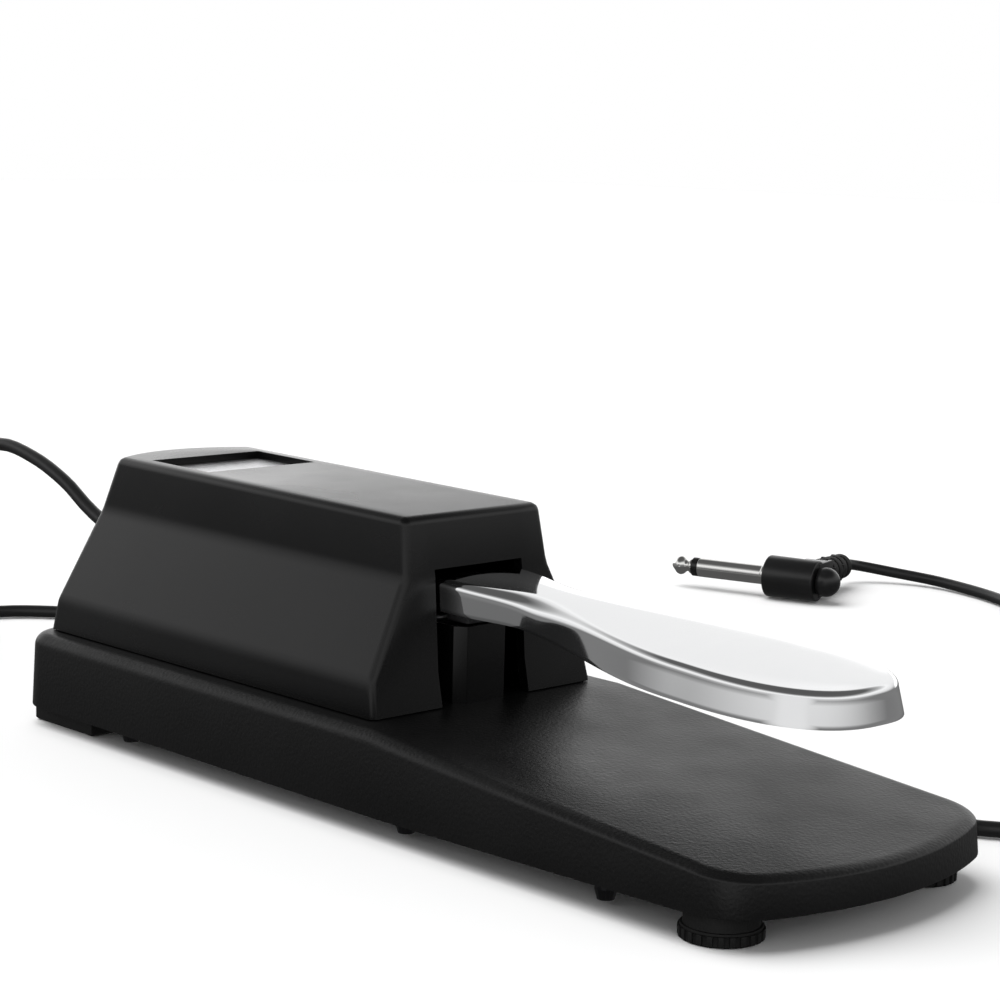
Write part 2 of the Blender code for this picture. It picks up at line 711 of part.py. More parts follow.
def make_pivot():
    low_z = BASE_TOP + GAP
    near, far = PIVOT_Y - 7 * MM, PIVOT_Y + 7 * MM
    bracket = box(
        "pivot_bracket", (-EAR_OUTER, near, low_z), (EAR_OUTER, far, PIVOT_Z + 6.5 * MM), "steel"
    )
    gap_low = (-EAR_INNER, near - 1 * MM, low_z + 2 * MM)
    cut(bracket, box("bracket_gap", gap_low, (EAR_INNER, far + 1 * MM, 0.08), None))
    place = along_x(0, PIVOT_Y, PIVOT_Z)
    bore(bracket, "bracket_bore", 4.0 * MM, -30 * MM, 30 * MM, place, 20)
    pin = solid_profile(PIN_RADIUS, -20 * MM, 20 * MM, 0.4 * MM)
    turned("pivot_pin", pin, "steel", place, 20)
    for name, side in (("left", -1), ("right", 1)):
        heights = [13.2, 14.6, 17.2]
        flange, neck, end = (side * h * MM for h in heights)
        bush = [
            (5.2 * MM, flange),
            (5.2 * MM, neck),
            (3.7 * MM, neck),
            (3.7 * MM, end),
            (PIN_RADIUS + GAP, end),
            (PIN_RADIUS + GAP, flange),
        ]
        turned(f"pivot_bush_{name}", bush, "nylon", place, 20)
        clip = tube_profile(4.3 * MM, PIN_RADIUS + GAP, side * 17.6 * MM, side * 18.4 * MM)
        turned(f"pin_clip_{name}", clip, "steel", place, 16)


def lever_roof(y):
    return lever_top(y) - LEVER_WALL - 0.4 * MM


def dropped(y):
    """How far the lever's roof sinks at y when it is fully pressed."""
    return (PIVOT_Y - y) * math.sin(PRESS_ANGLE)


STOP_PAD_THICK = 2.2 * MM


def stop_pad_low():
    front = MOUTH_Y + 0.6 * MM
    return lever_roof(front) - dropped(front) - 0.5 * MM - STOP_PAD_THICK


def make_stops():
    low_z = stop_pad_low()
    front = MOUTH_Y + 1.2 * MM
    low, high = (-5.4 * MM, front, low_z), (5.4 * MM, front + 7 * MM, low_z + STOP_PAD_THICK)
    box("down_stop_pad", low, high, "felt", 0.4 * MM, 1)
    top = lever_roof(REST_STOP_Y - 3 * MM) - GAP
    post_low = (-6 * MM, REST_STOP_Y - 3 * MM, BASE_TOP + GAP)
    post_high = (6 * MM, REST_STOP_Y + 3 * MM, top - 2.1 * MM)
    box("rest_stop_post", post_low, post_high, "moulded_black", 0.5 * MM, 1)
    pad_low = (-5.5 * MM, REST_STOP_Y - 2.6 * MM, top - 1.8 * MM)
    box("rest_stop_pad", pad_low, (5.5 * MM, REST_STOP_Y + 2.6 * MM, top), "felt", 0.3 * MM, 1)


SPRING_RADIUS = 4.8 * MM
SPRING_WIRE = 0.7 * MM
SPRING_TURNS = 7


def make_spring():
    seat_low = BASE_TOP + GAP
    seat = [
        (0, seat_low),
        (7.0 * MM, seat_low),
        (7.0 * MM, seat_low + 3.5 * MM),
        (6.1 * MM, seat_low + 3.5 * MM),
        (6.1 * MM, seat_low + 1.5 * MM),
        (3.2 * MM, seat_low + 1.5 * MM),
        (3.2 * MM, seat_low + 5.0 * MM),
        (0, seat_low + 5.0 * MM),
    ]
    turned("spring_seat", seat, "nylon", at(0, SPRING_Y, 0), 24)
    roof = lever_roof(SPRING_Y - 7 * MM) - GAP
    cup = [
        (0, roof - 5.0 * MM),
        (3.2 * MM, roof - 5.0 * MM),
        (3.2 * MM, roof - 1.5 * MM),
        (6.8 * MM, roof - 1.5 * MM),
        (6.8 * MM, roof),
        (0, roof),
    ]
    turned("spring_cup", cup, "nylon", at(0, SPRING_Y, 0), 24)
    low = seat_low + 1.5 * MM + GAP + SPRING_WIRE
    high = roof - 1.5 * MM - GAP - SPRING_WIRE
    per_turn, sides = 14, 6
    bm = bmesh.new()
    rows = []
    for i in range(SPRING_TURNS * per_turn + 1):
        angle = 2 * math.pi * i / per_turn
        share = i / (SPRING_TURNS * per_turn)
        centre = Vector((SPRING_RADIUS * math.cos(angle), SPRING_RADIUS * math.sin(angle), 0))
        rise = 0.75 * share + 0.25 * smoothstep(share)
        centre += Vector((0, SPRING_Y, low + (high - low) * rise))
        outward = Vector((math.cos(angle), math.sin(angle), 0))
        row = []
        for k in range(sides):
            turn = 2 * math.pi * k / sides
            offset = outward * math.cos(turn) + Vector((0, 0, 1)) * math.sin(turn)
            row.append(bm.verts.new(centre + offset * SPRING_WIRE))
        rows.append(row)
    for first, second in zip(rows, rows[1:]):
        for k in range(sides):
            j = (k + 1) % sides
            bm.faces.new((first[k], first[j], second[j], second[k]))
    bm.faces.new(rows[0])
    bm.faces.new(rows[-1])
    return finish_mesh("return_spring", bm, "steel", 60.0)


def make_switch():
    board_low = BASE_TOP + 3.0 * MM
    board_high = board_low + 1.6 * MM
    near, far = SWITCH_Y - 7.6 * MM, SWITCH_Y + 7.6 * MM
    board = box("circuit_board", (-13 * MM, near, board_low), (13 * MM, far, board_high), "circuit_green")
    for name, side in (("left", -1), ("right", 1)):
        spot = at(side * 10.5 * MM, SWITCH_Y, 0)
        bore(board, f"board_hole_{name}", 1.5 * MM, 0, 0.05, spot, 12)
        spacer = tube_profile(2.8 * MM, 1.5 * MM, BASE_TOP + GAP, board_low - GAP)
        turned(f"board_spacer_{name}", spacer, "nylon", spot, 16)
        top = board_high + GAP
        screw = [
            (0, BASE_TOP + 2 * GAP),
            (1.15 * MM, BASE_TOP + 2 * GAP),
            (1.15 * MM, top),
            (2.3 * MM, top),
            (2.0 * MM, top + 1.4 * MM),
            (0, top + 1.6 * MM),
        ]
        turned(f"board_screw_{name}", screw, "steel", spot, 16)
    low = (-6.4 * MM, SWITCH_Y - 3.6 * MM, board_high + GAP)
    high = (6.4 * MM, SWITCH_Y + 3.6 * MM, board_high + 11.0 * MM)
    body = box("switch_body", low, high, "moulded_black", 0.4 * MM, 1)
    bore(body, "switch_well", 1.9 * MM, board_high + 3.0 * MM, 0.06, at(0, SWITCH_Y, 0), 16)
    top = lever_roof(SWITCH_Y) - GAP
    plunger = [
        (0, board_high + 6.2 * MM),
        (1.5 * MM, board_high + 6.2 * MM),
        (1.5 * MM, top - 1.0 * MM),
        (1.0 * MM, top - 0.25 * MM),
        (0, top),
    ]
    turned("switch_plunger", plunger, "nylon", at(0, SWITCH_Y, 0), 16)


# ---- cord and plug -----------------------------------------------------------------------------


def make_gland():
    place = gland_place()
    collar = 0.4 * MM
    profile = [
        (CORD_RADIUS + GAP, -8.0 * MM),
        (4.6 * MM, -8.0 * MM),
        (5.6 * MM, -6.0 * MM),
        (5.6 * MM, -COVER_WALL - 0.8 * MM),
        (3.9 * MM, -COVER_WALL - 0.8 * MM),
        (3.9 * MM, collar),
        (5.4 * MM, collar),
        (5.4 * MM, 2.4 * MM),
    ]
    rings, start = 5, 3.6 * MM
    pitch = (GLAND_REACH - start) / rings
    for k in range(rings):
        radius = (4.5 - 0.32 * k) * MM
        low = start + pitch * k
        profile += [(radius - 1.1 * MM, low - 0.6 * MM), (radius - 1.1 * MM, low)]
        profile += [(radius, low), (radius - 0.1 * MM, low + pitch - 0.9 * MM)]
    profile += [(CORD_RADIUS + GAP, GLAND_REACH)]
    return turned("cable_gland", profile, "rubber", place, 20)


def smooth_route(points, step):
    """Evenly spaced points on a Catmull-Rom curve through the given points."""
    fine = []
    ends = [2 * points[0] - points[1]] + list(points) + [2 * points[-1] - points[-2]]
    for a, b, c, d in zip(ends, ends[1:], ends[2:], ends[3:]):
        for k in range(20):
            t = k / 20
            square = 2 * a - 5 * b + 4 * c - d
            cube = 3 * b - a - 3 * c + d
            fine.append(0.5 * (2 * b + (c - a) * t + square * t * t + cube * t**3))
    fine.append(points[-1])
    total = sum((q - p).length for p, q in zip(fine, fine[1:]))
    count = max(2, round(total / step))
    spaced, travelled, target = [fine[0]], 0.0, total / count
    for p, q in zip(fine, fine[1:]):
        run = (q - p).length
        while travelled + run >= target and len(spaced) < count:
            spaced.append(p.lerp(q, (target - travelled) / run))
            target += total / count
        travelled += run
    spaced.append(fine[-1])
    return spaced


def cord_tube(name, points):
    curve = bpy.data.curves.new(name, "CURVE")
    curve.dimensions = "3D"
    curve.bevel_depth = CORD_RADIUS
    curve.bevel_resolution = 2
    curve.use_fill_caps = True
    line = curve.splines.new("POLY")
    line.points.add(len(points) - 1)
    for spot, p in zip(line.points, points):
        spot.co = (*p, 1.0)
    obj = bpy.data.objects.new(name, curve)
    bpy.context.scene.collection.objects.link(obj)
    curve.materials.append(material("cord_black"))
    return obj


CORD_LOW = CORD_RADIUS + FLOOR_LIFT
CORD_STEP = 3.1 * CORD_DIAMETER


COIL_OUTER = COIL_INNER + COIL_PITCH * (COIL_TURNS_WIDE - 1)  # middle of the outermost turn
COIL_CLEAR = COIL_OUTER + 2 * CORD_RADIUS + GAP
COIL_REACH = math.sqrt(COIL_CLEAR**2 - COIL_OUTER**2)  # along the tangent, to clear the coil


def lead_route():
    """From the gland up, over and down to the floor, and round to the coil's left side."""
    place = gland_place()
    start = place @ Vector((0, 0, GLAND_REACH + GAP))
    ahead = place @ Vector((0, 0, GLAND_REACH + 4 * MM))
    spots = [
        (0.0, 151.0, 47.6),
        (0.0, 160.5, 52.6),
        (0.0, 175.5, 57.4),
        (-0.5, 192.0, 59.4),
        (-3.5, 206.5, 54.6),
        (-7.0, 217.5, 43.5),
        (-9.0, 225.5, 28.5),
        (-7.0, 232.0, 14.0),
        (1.0, 236.5, 4.6),
        (14.0, 237.0, 2.0),
        (29.0, 232.5, 1.9),
        (41.0, 221.0, 1.9),
        (48.4, 205.0, 2.1),
    ]
    west = COIL_CENTRE + Vector((-COIL_OUTER, 0, COIL_LIFT + CORD_RADIUS))
    return [start, ahead] + [Vector(p) * MM for p in spots] + [west + Vector((0, COIL_REACH, 0))]


def tail_route():
    """From the coil along the pedal's right side, round and out to the plug."""
    west = COIL_CENTRE + Vector((-COIL_OUTER, 0, COIL_LIFT + CORD_RADIUS + COIL_PITCH))
    spots = [
        (51.3, 140.0, 3.2),
        (52.6, 122.0, 1.9),
        (54.5, 95.0, 1.9),
        (55.8, 55.0, 1.9),
        (56.0, 10.0, 1.9),
        (56.0, -40.0, 1.9),
        (58.5, -80.0, 1.9),
        (71.0, -105.0, 1.9),
        (95.0, -111.0, 1.9),
        (122.0, -98.0, 1.9),
        (165.0, -64.0, 1.9),
        (215.0, -22.0, 1.9),
        (262.0, 20.0, 1.9),
        (293.0, 55.0, 1.9),
        (304.5, 88.0, 2.2),
        (300.5, 108.0, 3.6),
    ]
    place = plug_place()
    side = RELIEF_START + RELIEF_LENGTH
    last = place @ Vector((side + GAP, 0, -RELIEF_DROP))
    before = place @ Vector((side + 9 * MM, 0, -RELIEF_DROP)) + Vector((0, 0, -0.9 * MM))
    first = west - Vector((0, COIL_REACH, 0.5 * MM))
    return [first] + [Vector(p) * MM for p in spots] + [before, last]


def make_cord():
    cord_tube("cord_lead", smooth_route(lead_route(), CORD_STEP))
    cord_tube("cord_tail", smooth_route(tail_route(), CORD_STEP))
    outer = COIL_OUTER + CORD_RADIUS
    inner = COIL_INNER - CORD_RADIUS
    low, high = COIL_LIFT, COIL_LIFT + CORD_DIAMETER + COIL_PITCH
    edge = 1.2 * MM
    ring = [
        (outer - edge, low),
        (outer, low + edge),
        (outer, high - edge),
        (outer - edge, high),
        (inner + edge, high),
        (inner, high - edge),
        (inner, low + edge),
        (inner + edge, low),
    ]
    turned("cord_coil", ring, "cord_black", at(*COIL_CENTRE), 40)
    # a flat tie round the coil's turns
    thick, half = 0.6 * MM, 4.0 * MM
    turn = math.radians(20)
    place = at(*COIL_CENTRE) @ Matrix.Rotation(turn, 4, "Z")
    loops = []
    for grow, across in ((GAP, -half), (GAP + thick, -half), (GAP + thick, half), (GAP, half)):
        near, far = inner - grow - 0.35 * MM, outer + grow
        bottom, top = low - grow, high + grow
        round_off = 1.5 * MM
        loop = [
            (near + round_off, bottom),
            (far - round_off, bottom),
            (far, bottom + round_off),
            (far, top - round_off),
            (far - round_off, top),
            (near + round_off, top),
            (near, top - round_off),
            (near, bottom + round_off),
        ]
        loops.append([place @ Vector((x, across, z)) for x, z in loop])
    bm = loft(loops + [loops[0]], close_ends=False)
    bmesh.ops.remove_doubles(bm, verts=bm.verts, dist=0.00001)
    finish_mesh("coil_tie", bm, "rubber")


def plug_place():
    """The plug's own frame: Z along the shaft, X along the strain relief."""
    along = Vector((math.cos(PLUG_TURN), math.sin(PLUG_TURN), 0))
    side = Vector((math.sin(PLUG_TURN), -math.cos(PLUG_TURN), 0))
    up = along.cross(side)
    turn = Matrix((side, up, along)).transposed().to_4x4()
    return Matrix.Translation(PLUG_PLACE) @ turn


def make_plug():
    place = plug_place()
    length = PLUG_BODY_LENGTH
    barrel = [
        (0, -length),
        (PLUG_BODY_RADIUS - 0.5 * MM, -length),
        (PLUG_BODY_RADIUS, -length + 0.5 * MM),
        (PLUG_BODY_RADIUS, -0.6 * MM),
        (PLUG_BODY_RADIUS - 0.6 * MM, 0),
        (0, 0),
    ]
    body = turned("plug_body", barrel, "moulded_black", place, 28)
    # gusset between barrel and strain relief
    half = 5.0 * MM
    gusset = [
        (0.0, -3.4 * MM),
        (PLUG_BODY_RADIUS - 1.2 * MM, -3.4 * MM),
        (RELIEF_START - GAP, -RELIEF_DROP + 5.0 * MM),
        (RELIEF_START - GAP, -length + 0.6 * MM),
        (0.0, -length + 0.6 * MM),
    ]
    web = finish_mesh(
        "plug_gusset",
        loft([[place @ Vector((x, y, z)) for x, z in gusset] for y in (half, -half)]),
        None,
    )
    join(body, web)
    rim = [
        place @ Vector((x, y, z))
        for z in (-length - 0.2 * MM, -length + 1.0 * MM)
        for x, y in ((0, -5.6 * MM), (11.4 * MM, -5.6 * MM), (11.4 * MM, 5.6 * MM), (0, 5.6 * MM))
    ]
    join(body, finish_mesh("plug_rim", loft([rim[:4], rim[4:]]), None))
    # round knob on the barrel's closed end
    ball, centre = 4.8 * MM, -length - 2.4 * MM
    top = -length - 0.2 * MM - GAP
    start = math.acos((top - centre) / ball)
    knob = [(0, top)]
    steps = 9
    for k in range(steps + 1):
        turn = start + (math.pi - start) * k / steps
        knob.append((ball * math.sin(turn) if k < steps else 0.0, centre + ball * math.cos(turn)))
    turned("plug_knob", knob, "moulded_black", place, 24)
    # ribbed strain relief
    side = place @ at(0, 0, -RELIEF_DROP) @ Matrix.Rotation(math.radians(90), 4, "Y")
    rings = 5
    pitch = RELIEF_LENGTH / rings
    hole = CORD_RADIUS + GAP
    relief = [(hole, RELIEF_START)]
    for k in range(rings):
        radius = (4.95 - 0.17 * k) * MM
        low = RELIEF_START + pitch * k
        relief += [(radius, low), (radius, low + pitch - 1.0 * MM)]
        if k < rings - 1:
            relief += [(radius - 1.9 * MM, low + pitch - 1.0 * MM), (radius - 1.9 * MM, low + pitch)]
    end = RELIEF_START + RELIEF_LENGTH
    relief[-1] = (relief[-1][0], end)
    relief.append((hole, end))
    turned("plug_relief", relief, "rubber", side, 24)
    # jack shaft: sleeve, insulating ring and tip
    ring_low = SHAFT_LENGTH - 9.9 * MM
    ring_high = SHAFT_LENGTH - 8.1 * MM
    turned("plug_sleeve", solid_profile(SHAFT_RADIUS, GAP, ring_low - GAP, 0.2 * MM), "chrome", place, 28)
    turned("plug_insulator", solid_profile(SHAFT_RADIUS, ring_low, ring_high), "insulator", place, 28)
    down = SHAFT_LENGTH
    tip = [
        (0, ring_high + GAP),
        (2.5 * MM, ring_high + GAP),
        (2.5 * MM, down - 7.0 * MM),
        (1.9 * MM, down - 6.5 * MM),
        (1.75 * MM, down - 5.4 * MM),
        (2.5 * MM, down - 4.7 * MM),
        (3.0 * MM, down - 4.0 * MM),
        (3.15 * MM, down - 3.2 * MM),
        (2.9 * MM, down - 2.5 * MM),
        (0.9 * MM, down - 0.3 * MM),
        (0, down),
    ]
    turned("plug_tip", tip, "chrome", place, 28)


def make_inner_lead():
    place = gland_place()
    start = place @ Vector((0, 0, -8 * MM - GAP))
    spots = [
        (4.0, 103.0, 32.0),
        (14.0, 88.0, 26.5),
        (20.4, 70.0, 25.4),
        (20.4, 45.0, 25.4),
        (19.6, 36.0, 27.2),
        (11.5, 28.6, 30.0),
    ]
    route = [start, place @ Vector((0, 0, -12 * MM))] + [Vector(p) * MM for p in spots]
    lead = cord_tube("inner_lead", smooth_route(route, 9 * MM))
    lead.data.bevel_depth = INNER_LEAD_RADIUS
    return lead


# ---- assembly ----------------------------------------------------------------------------------


def move_origin(name, point):
    """Put an object's origin on its joint, leaving its shape where it is."""
    obj = bpy.data.objects[name]
    obj.data.transform(Matrix.Translation(-Vector(point)))
    obj.location = point


def main():
    clear_scene()
    make_base()
    make_bottom_plate()
    make_base_screws()
    make_feet()
    make_rear_pad()
    make_cover()
    make_badge()
    make_lever()
    make_pivot()
    make_stops()
    make_spring()
    make_switch()
    make_gland()
    make_inner_lead()
    make_cord()
    make_plug()
    move_origin("pedal_lever", (0, PIVOT_Y, PIVOT_Z))
    move_origin("spring_cup", (0, PIVOT_Y, PIVOT_Z))


main()
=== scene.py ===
import math

import bmesh
import bpy
from mathutils import Matrix, Vector


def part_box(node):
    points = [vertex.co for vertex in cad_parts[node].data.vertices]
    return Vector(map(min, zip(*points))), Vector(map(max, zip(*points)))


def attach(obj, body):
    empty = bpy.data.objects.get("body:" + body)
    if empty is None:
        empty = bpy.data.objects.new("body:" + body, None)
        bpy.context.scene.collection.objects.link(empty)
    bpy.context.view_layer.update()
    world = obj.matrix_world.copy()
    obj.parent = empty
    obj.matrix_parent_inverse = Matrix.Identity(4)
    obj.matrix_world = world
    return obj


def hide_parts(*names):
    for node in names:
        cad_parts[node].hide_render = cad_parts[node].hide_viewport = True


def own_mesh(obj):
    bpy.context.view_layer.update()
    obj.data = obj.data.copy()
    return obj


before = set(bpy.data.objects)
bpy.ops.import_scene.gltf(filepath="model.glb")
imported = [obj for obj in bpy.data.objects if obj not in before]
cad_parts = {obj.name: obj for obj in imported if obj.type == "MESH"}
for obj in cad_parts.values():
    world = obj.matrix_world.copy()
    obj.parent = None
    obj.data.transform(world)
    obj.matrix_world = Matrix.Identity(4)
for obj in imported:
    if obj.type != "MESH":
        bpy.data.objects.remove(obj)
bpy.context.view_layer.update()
mm = 0.001


# camera, white surroundings and lights

cameraSet = {
    "place": (-0.3782, -0.4075, 0.1509),
    "heading": -43.72,
    "pitch": -8.78,
    "roll": 1.48,
    "lens": 90.0,
    "shift": (-0.00305, 0.01249),
}

studioSet = {
    "floorSize": 9.0,
    "floorDrop": 0.0002,
    "floorTones": [(0.93, 0.93, 0.93), (0.96, 0.96, 0.96)],
    "background": 1.0,
    # how bright the sky is at each sine of the height above the horizon
    "sky": [(-0.30, 0.10), (-0.10, 0.22), (0.04, 0.20), (0.12, 0.40), (0.25, 0.82), (0.47, 1.05),
            (0.60, 0.50), (0.75, 0.12), (1.0, 0.10)],
    "panel": 0.95,          # bright wall behind the pedal
    "panelFoot": 1.8,       # its lower part
    "panelHeading": (0.69, 0.72, 0.0),
    "panelFade": (0.62, 0.86),
    "panelFootTop": (0.17, 0.215),
    "strip": 0.85,          # softbox on the near left
    "stripHeading": (-0.862, -0.472, 0.18),
    "stripWidth": 24.0,
    "stripSoft": 0.08,
    "sunPower": 2.6,
    "sunSpread": 60,
    "sunTurn": (-18, -14, 0),
}


def makeCamera(s):
    data = bpy.data.cameras.new("camera")
    data.lens = s["lens"]
    data.sensor_width = 36.0
    data.shift_x, data.shift_y = s["shift"]
    data.clip_start, data.clip_end = 0.01, 50
    camera = bpy.data.objects.new("camera", data)
    bpy.context.scene.collection.objects.link(camera)
    turn = (
        Matrix.Rotation(math.radians(s["heading"]), 4, "Z")
        @ Matrix.Rotation(math.radians(90 + s["pitch"]), 4, "X")
        @ Matrix.Rotation(math.radians(s["roll"]), 4, "Z")
    )
    camera.matrix_world = Matrix.Translation(s["place"]) @ turn
    bpy.context.scene.camera = camera
    print("camera set")


makeCamera(cameraSet)


# small modelling helpers

def deselectAll():
    if bpy.context.object and bpy.context.object.mode != "OBJECT":
        bpy.ops.object.mode_set(mode="OBJECT")
    for obj in list(bpy.context.selected_objects):
        obj.select_set(False)


def makeActive(obj):
    deselectAll()
    obj.select_set(True)
    bpy.context.view_layer.objects.active = obj


def nameNew(name):
    obj = bpy.context.active_object
    obj.name = name
    obj.data.name = name
    return obj


def startEdit(obj, mode="FACE"):
    makeActive(obj)
    bpy.ops.object.mode_set(mode="EDIT")
    bpy.ops.mesh.select_mode(type=mode)
    bpy.ops.mesh.select_all(action="DESELECT")


def endEdit():
    bpy.ops.object.mode_set(mode="OBJECT")


def pickFaces(obj, test):
    bpy.ops.mesh.select_mode(type="FACE")
    bpy.ops.mesh.select_all(action="DESELECT")
    shape = bmesh.from_edit_mesh(obj.data)
    for face in shape.faces:
        if test(face):
            face.select_set(True)
    bmesh.update_edit_mesh(obj.data)


def pickEdges(obj, test):
    bpy.ops.mesh.select_mode(type="EDGE")
    bpy.ops.mesh.select_all(action="DESELECT")
    shape = bmesh.from_edit_mesh(obj.data)
    for edge in shape.edges:
        if test(edge):
            edge.select_set(True)
    bmesh.update_edit_mesh(obj.data)


def moveVerts(obj, change, onlySelected=False):
    shape = bmesh.from_edit_mesh(obj.data)
    for v in shape.verts:
        if v.select or not onlySelected:
            v.co = change(v.co.copy())
    shape.normal_update()
    bmesh.update_edit_mesh(obj.data)


def extrudeBy(x, y, z):
    bpy.ops.mesh.extrude_region_move(TRANSFORM_OT_translate={"value": (x, y, z)})


def midPoint(edge):
    return (edge.verts[0].co + edge.verts[1].co) / 2


def edgeAngle(edge):
    return math.degrees(edge.calc_face_angle(0.0)) if len(edge.link_faces) == 2 else 0.0


def addModifier(obj, kind, **settings):
    step = obj.modifiers.new(kind.lower(), kind)
    for key, value in settings.items():
        setattr(step, key, value)
    return step


def applyModifiers(obj):
    makeActive(obj)
    for step in list(obj.modifiers):
        bpy.ops.object.modifier_apply(modifier=step.name)


def softEdges(obj, width, segments=2, angle=40, profile=0.6):
    addModifier(obj, "BEVEL", width=width, segments=segments, limit_method="ANGLE",
                angle_limit=math.radians(angle), profile=profile)


def applyPlace(obj):
    makeActive(obj)
    bpy.ops.object.transform_apply(location=True, rotation=True, scale=True)


def smooth(obj, angle=30):
    makeActive(obj)
    bpy.ops.object.shade_smooth_by_angle(angle=math.radians(angle))


def evenNormals(obj):
    addModifier(obj, "WEIGHTED_NORMAL", keep_sharp=True, weight=60)


def finishPiece(obj, look, body, stands=()):
    obj.data.materials.clear()
    obj.data.materials.append(look)
    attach(obj, body)
    if stands:
        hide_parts(*stands)
    return obj


def joinPieces(first, others):
    deselectAll()
    for obj in others:
        obj.select_set(True)
    first.select_set(True)
    bpy.context.view_layer.objects.active = first
    bpy.ops.object.join()
    return first


def smoothStep(t):
    t = min(1.0, max(0.0, t))
    return t * t * (3 - 2 * t)


# shader groups that several finishes share

def newGroup(name, inputs, outputs):
    group = bpy.data.node_groups.new(name, "ShaderNodeTree")
    for label, value in inputs:
        kind = "NodeSocketColor" if isinstance(value, tuple) else "NodeSocketFloat"
        socket = group.interface.new_socket(name=label, in_out="INPUT", socket_type=kind)
        socket.default_value = value
    for label in outputs:
        group.interface.new_socket(name=label, in_out="OUTPUT", socket_type="NodeSocketFloat")
    start = group.nodes.new("NodeGroupInput")
    end = group.nodes.new("NodeGroupOutput")
    start.location, end.location = (-900, 0), (700, 0)
    return group, start, end


def addNode(tree, kind, place, settings=None, values=None, wires=None):
    node = tree.nodes.new("ShaderNode" + kind)
    node.location = place
    for key, value in (settings or {}).items():
        setattr(node, key, value)
    for key, value in (values or {}).items():
        node.inputs[key].default_value = value
    for key, source in (wires or {}).items():
        tree.links.new(source, node.inputs[key])
    return node


def remap(tree, place, source, low, high, toLow=0.0, toHigh=1.0, eased=False):
    values = {"From Min": low, "From Max": high, "To Min": toLow, "To Max": toHigh}
    settings = {"interpolation_type": "SMOOTHSTEP"} if eased else None
    return addNode(tree, "MapRange", place, settings, values, {"Value": source}).outputs["Result"]


def combine(tree, place, operation, a, b, clamped=False):
    settings = {"operation": operation, "use_clamp": clamped}
    return addNode(tree, "Math", place, settings, None, {0: a, 1: b}).outputs["Value"]


def objectSpace(tree, place):
    return addNode(tree, "TexCoord", place).outputs["Object"]


def grainGroup():
    group, start, end = newGroup("mouldGrain", [("Scale", 2200.0), ("Blotch", 40.0)], ["Height", "Tone"])
    spot, scale = objectSpace(group, (-900, -250)), start.outputs["Scale"]
    cells = addNode(group, "TexVoronoi", (-500, 200), {"feature": "SMOOTH_F1"}, None,
                    {"Vector": spot, "Scale": scale})
    fine = addNode(group, "TexNoise", (-500, -100), None, {"Detail": 3.0, "Roughness": 0.6},
                   {"Vector": spot, "Scale": scale})
    wide = addNode(group, "TexNoise", (-500, -400), None, {"Detail": 3.0, "Roughness": 0.55},
                   {"Vector": spot, "Scale": start.outputs["Blotch"]})
    mix = addNode(group, "Mix", (-100, 100), {"data_type": "FLOAT"}, {"Factor": 0.45},
                  {"A": cells.outputs["Distance"], "B": fine.outputs["Fac"]})
    group.links.new(mix.outputs["Result"], end.inputs["Height"])
    group.links.new(wide.outputs["Fac"], end.inputs["Tone"])
    return group


def wearGroup():
    group, start, end = newGroup("edgeWear", [("Reach", 0.0006), ("Amount", 0.5)], ["Mask"])
    rounded = addNode(group, "Bevel", (-700, 200), {"samples": 6}, None, {"Radius": start.outputs["Reach"]})
    shape = addNode(group, "NewGeometry", (-700, -50))
    dot = addNode(group, "VectorMath", (-450, 100), {"operation": "DOT_PRODUCT"}, None,
                  {0: rounded.outputs["Normal"], 1: shape.outputs["Normal"]})
    away = remap(group, (-250, 100), dot.outputs["Value"], 0.995, 0.90)
    chips = addNode(group, "TexNoise", (-450, -250), None, {"Scale": 420.0, "Detail": 5.0, "Roughness": 0.7},
                    {"Vector": objectSpace(group, (-700, -300))})
    broken = remap(group, (-250, -200), chips.outputs["Fac"], 0.42, 0.62)
    both = combine(group, (50, 0), "MULTIPLY", away, broken)
    scaled = combine(group, (300, 0), "MULTIPLY", both, start.outputs["Amount"], True)
    group.links.new(scaled, end.inputs["Mask"])
    return group


def dustGroup():
    group, start, end = newGroup("dustFilm", [("Amount", 0.3), ("Scale", 90.0)], ["Mask"])
    shape = addNode(group, "NewGeometry", (-800, 150))
    split = addNode(group, "SeparateXYZ", (-600, 150), None, None, {"Vector": shape.outputs["Normal"]})
    upward = remap(group, (-400, 150), split.outputs["Z"], 0.55, 1.0, eased=True)
    spot = objectSpace(group, (-800, -150))
    clouds = addNode(group, "TexNoise", (-600, -100), None, {"Detail": 6.0, "Roughness": 0.62},
                     {"Vector": spot, "Scale": start.outputs["Scale"]})
    specks = addNode(group, "TexVoronoi", (-600, -350), None, {"Scale": 900.0}, {"Vector": spot})
    dots = remap(group, (-400, -350), specks.outputs["Distance"], 0.14, 0.05)
    soft = remap(group, (-400, -100), clouds.outputs["Fac"], 0.35, 0.75, 0.15)
    most = combine(group, (-150, -200), "MAXIMUM", soft, dots)
    both = combine(group, (80, 0), "MULTIPLY", upward, most)
    scaled = combine(group, (300, 0), "MULTIPLY", both, start.outputs["Amount"], True)
    group.links.new(scaled, end.inputs["Mask"])
    return group


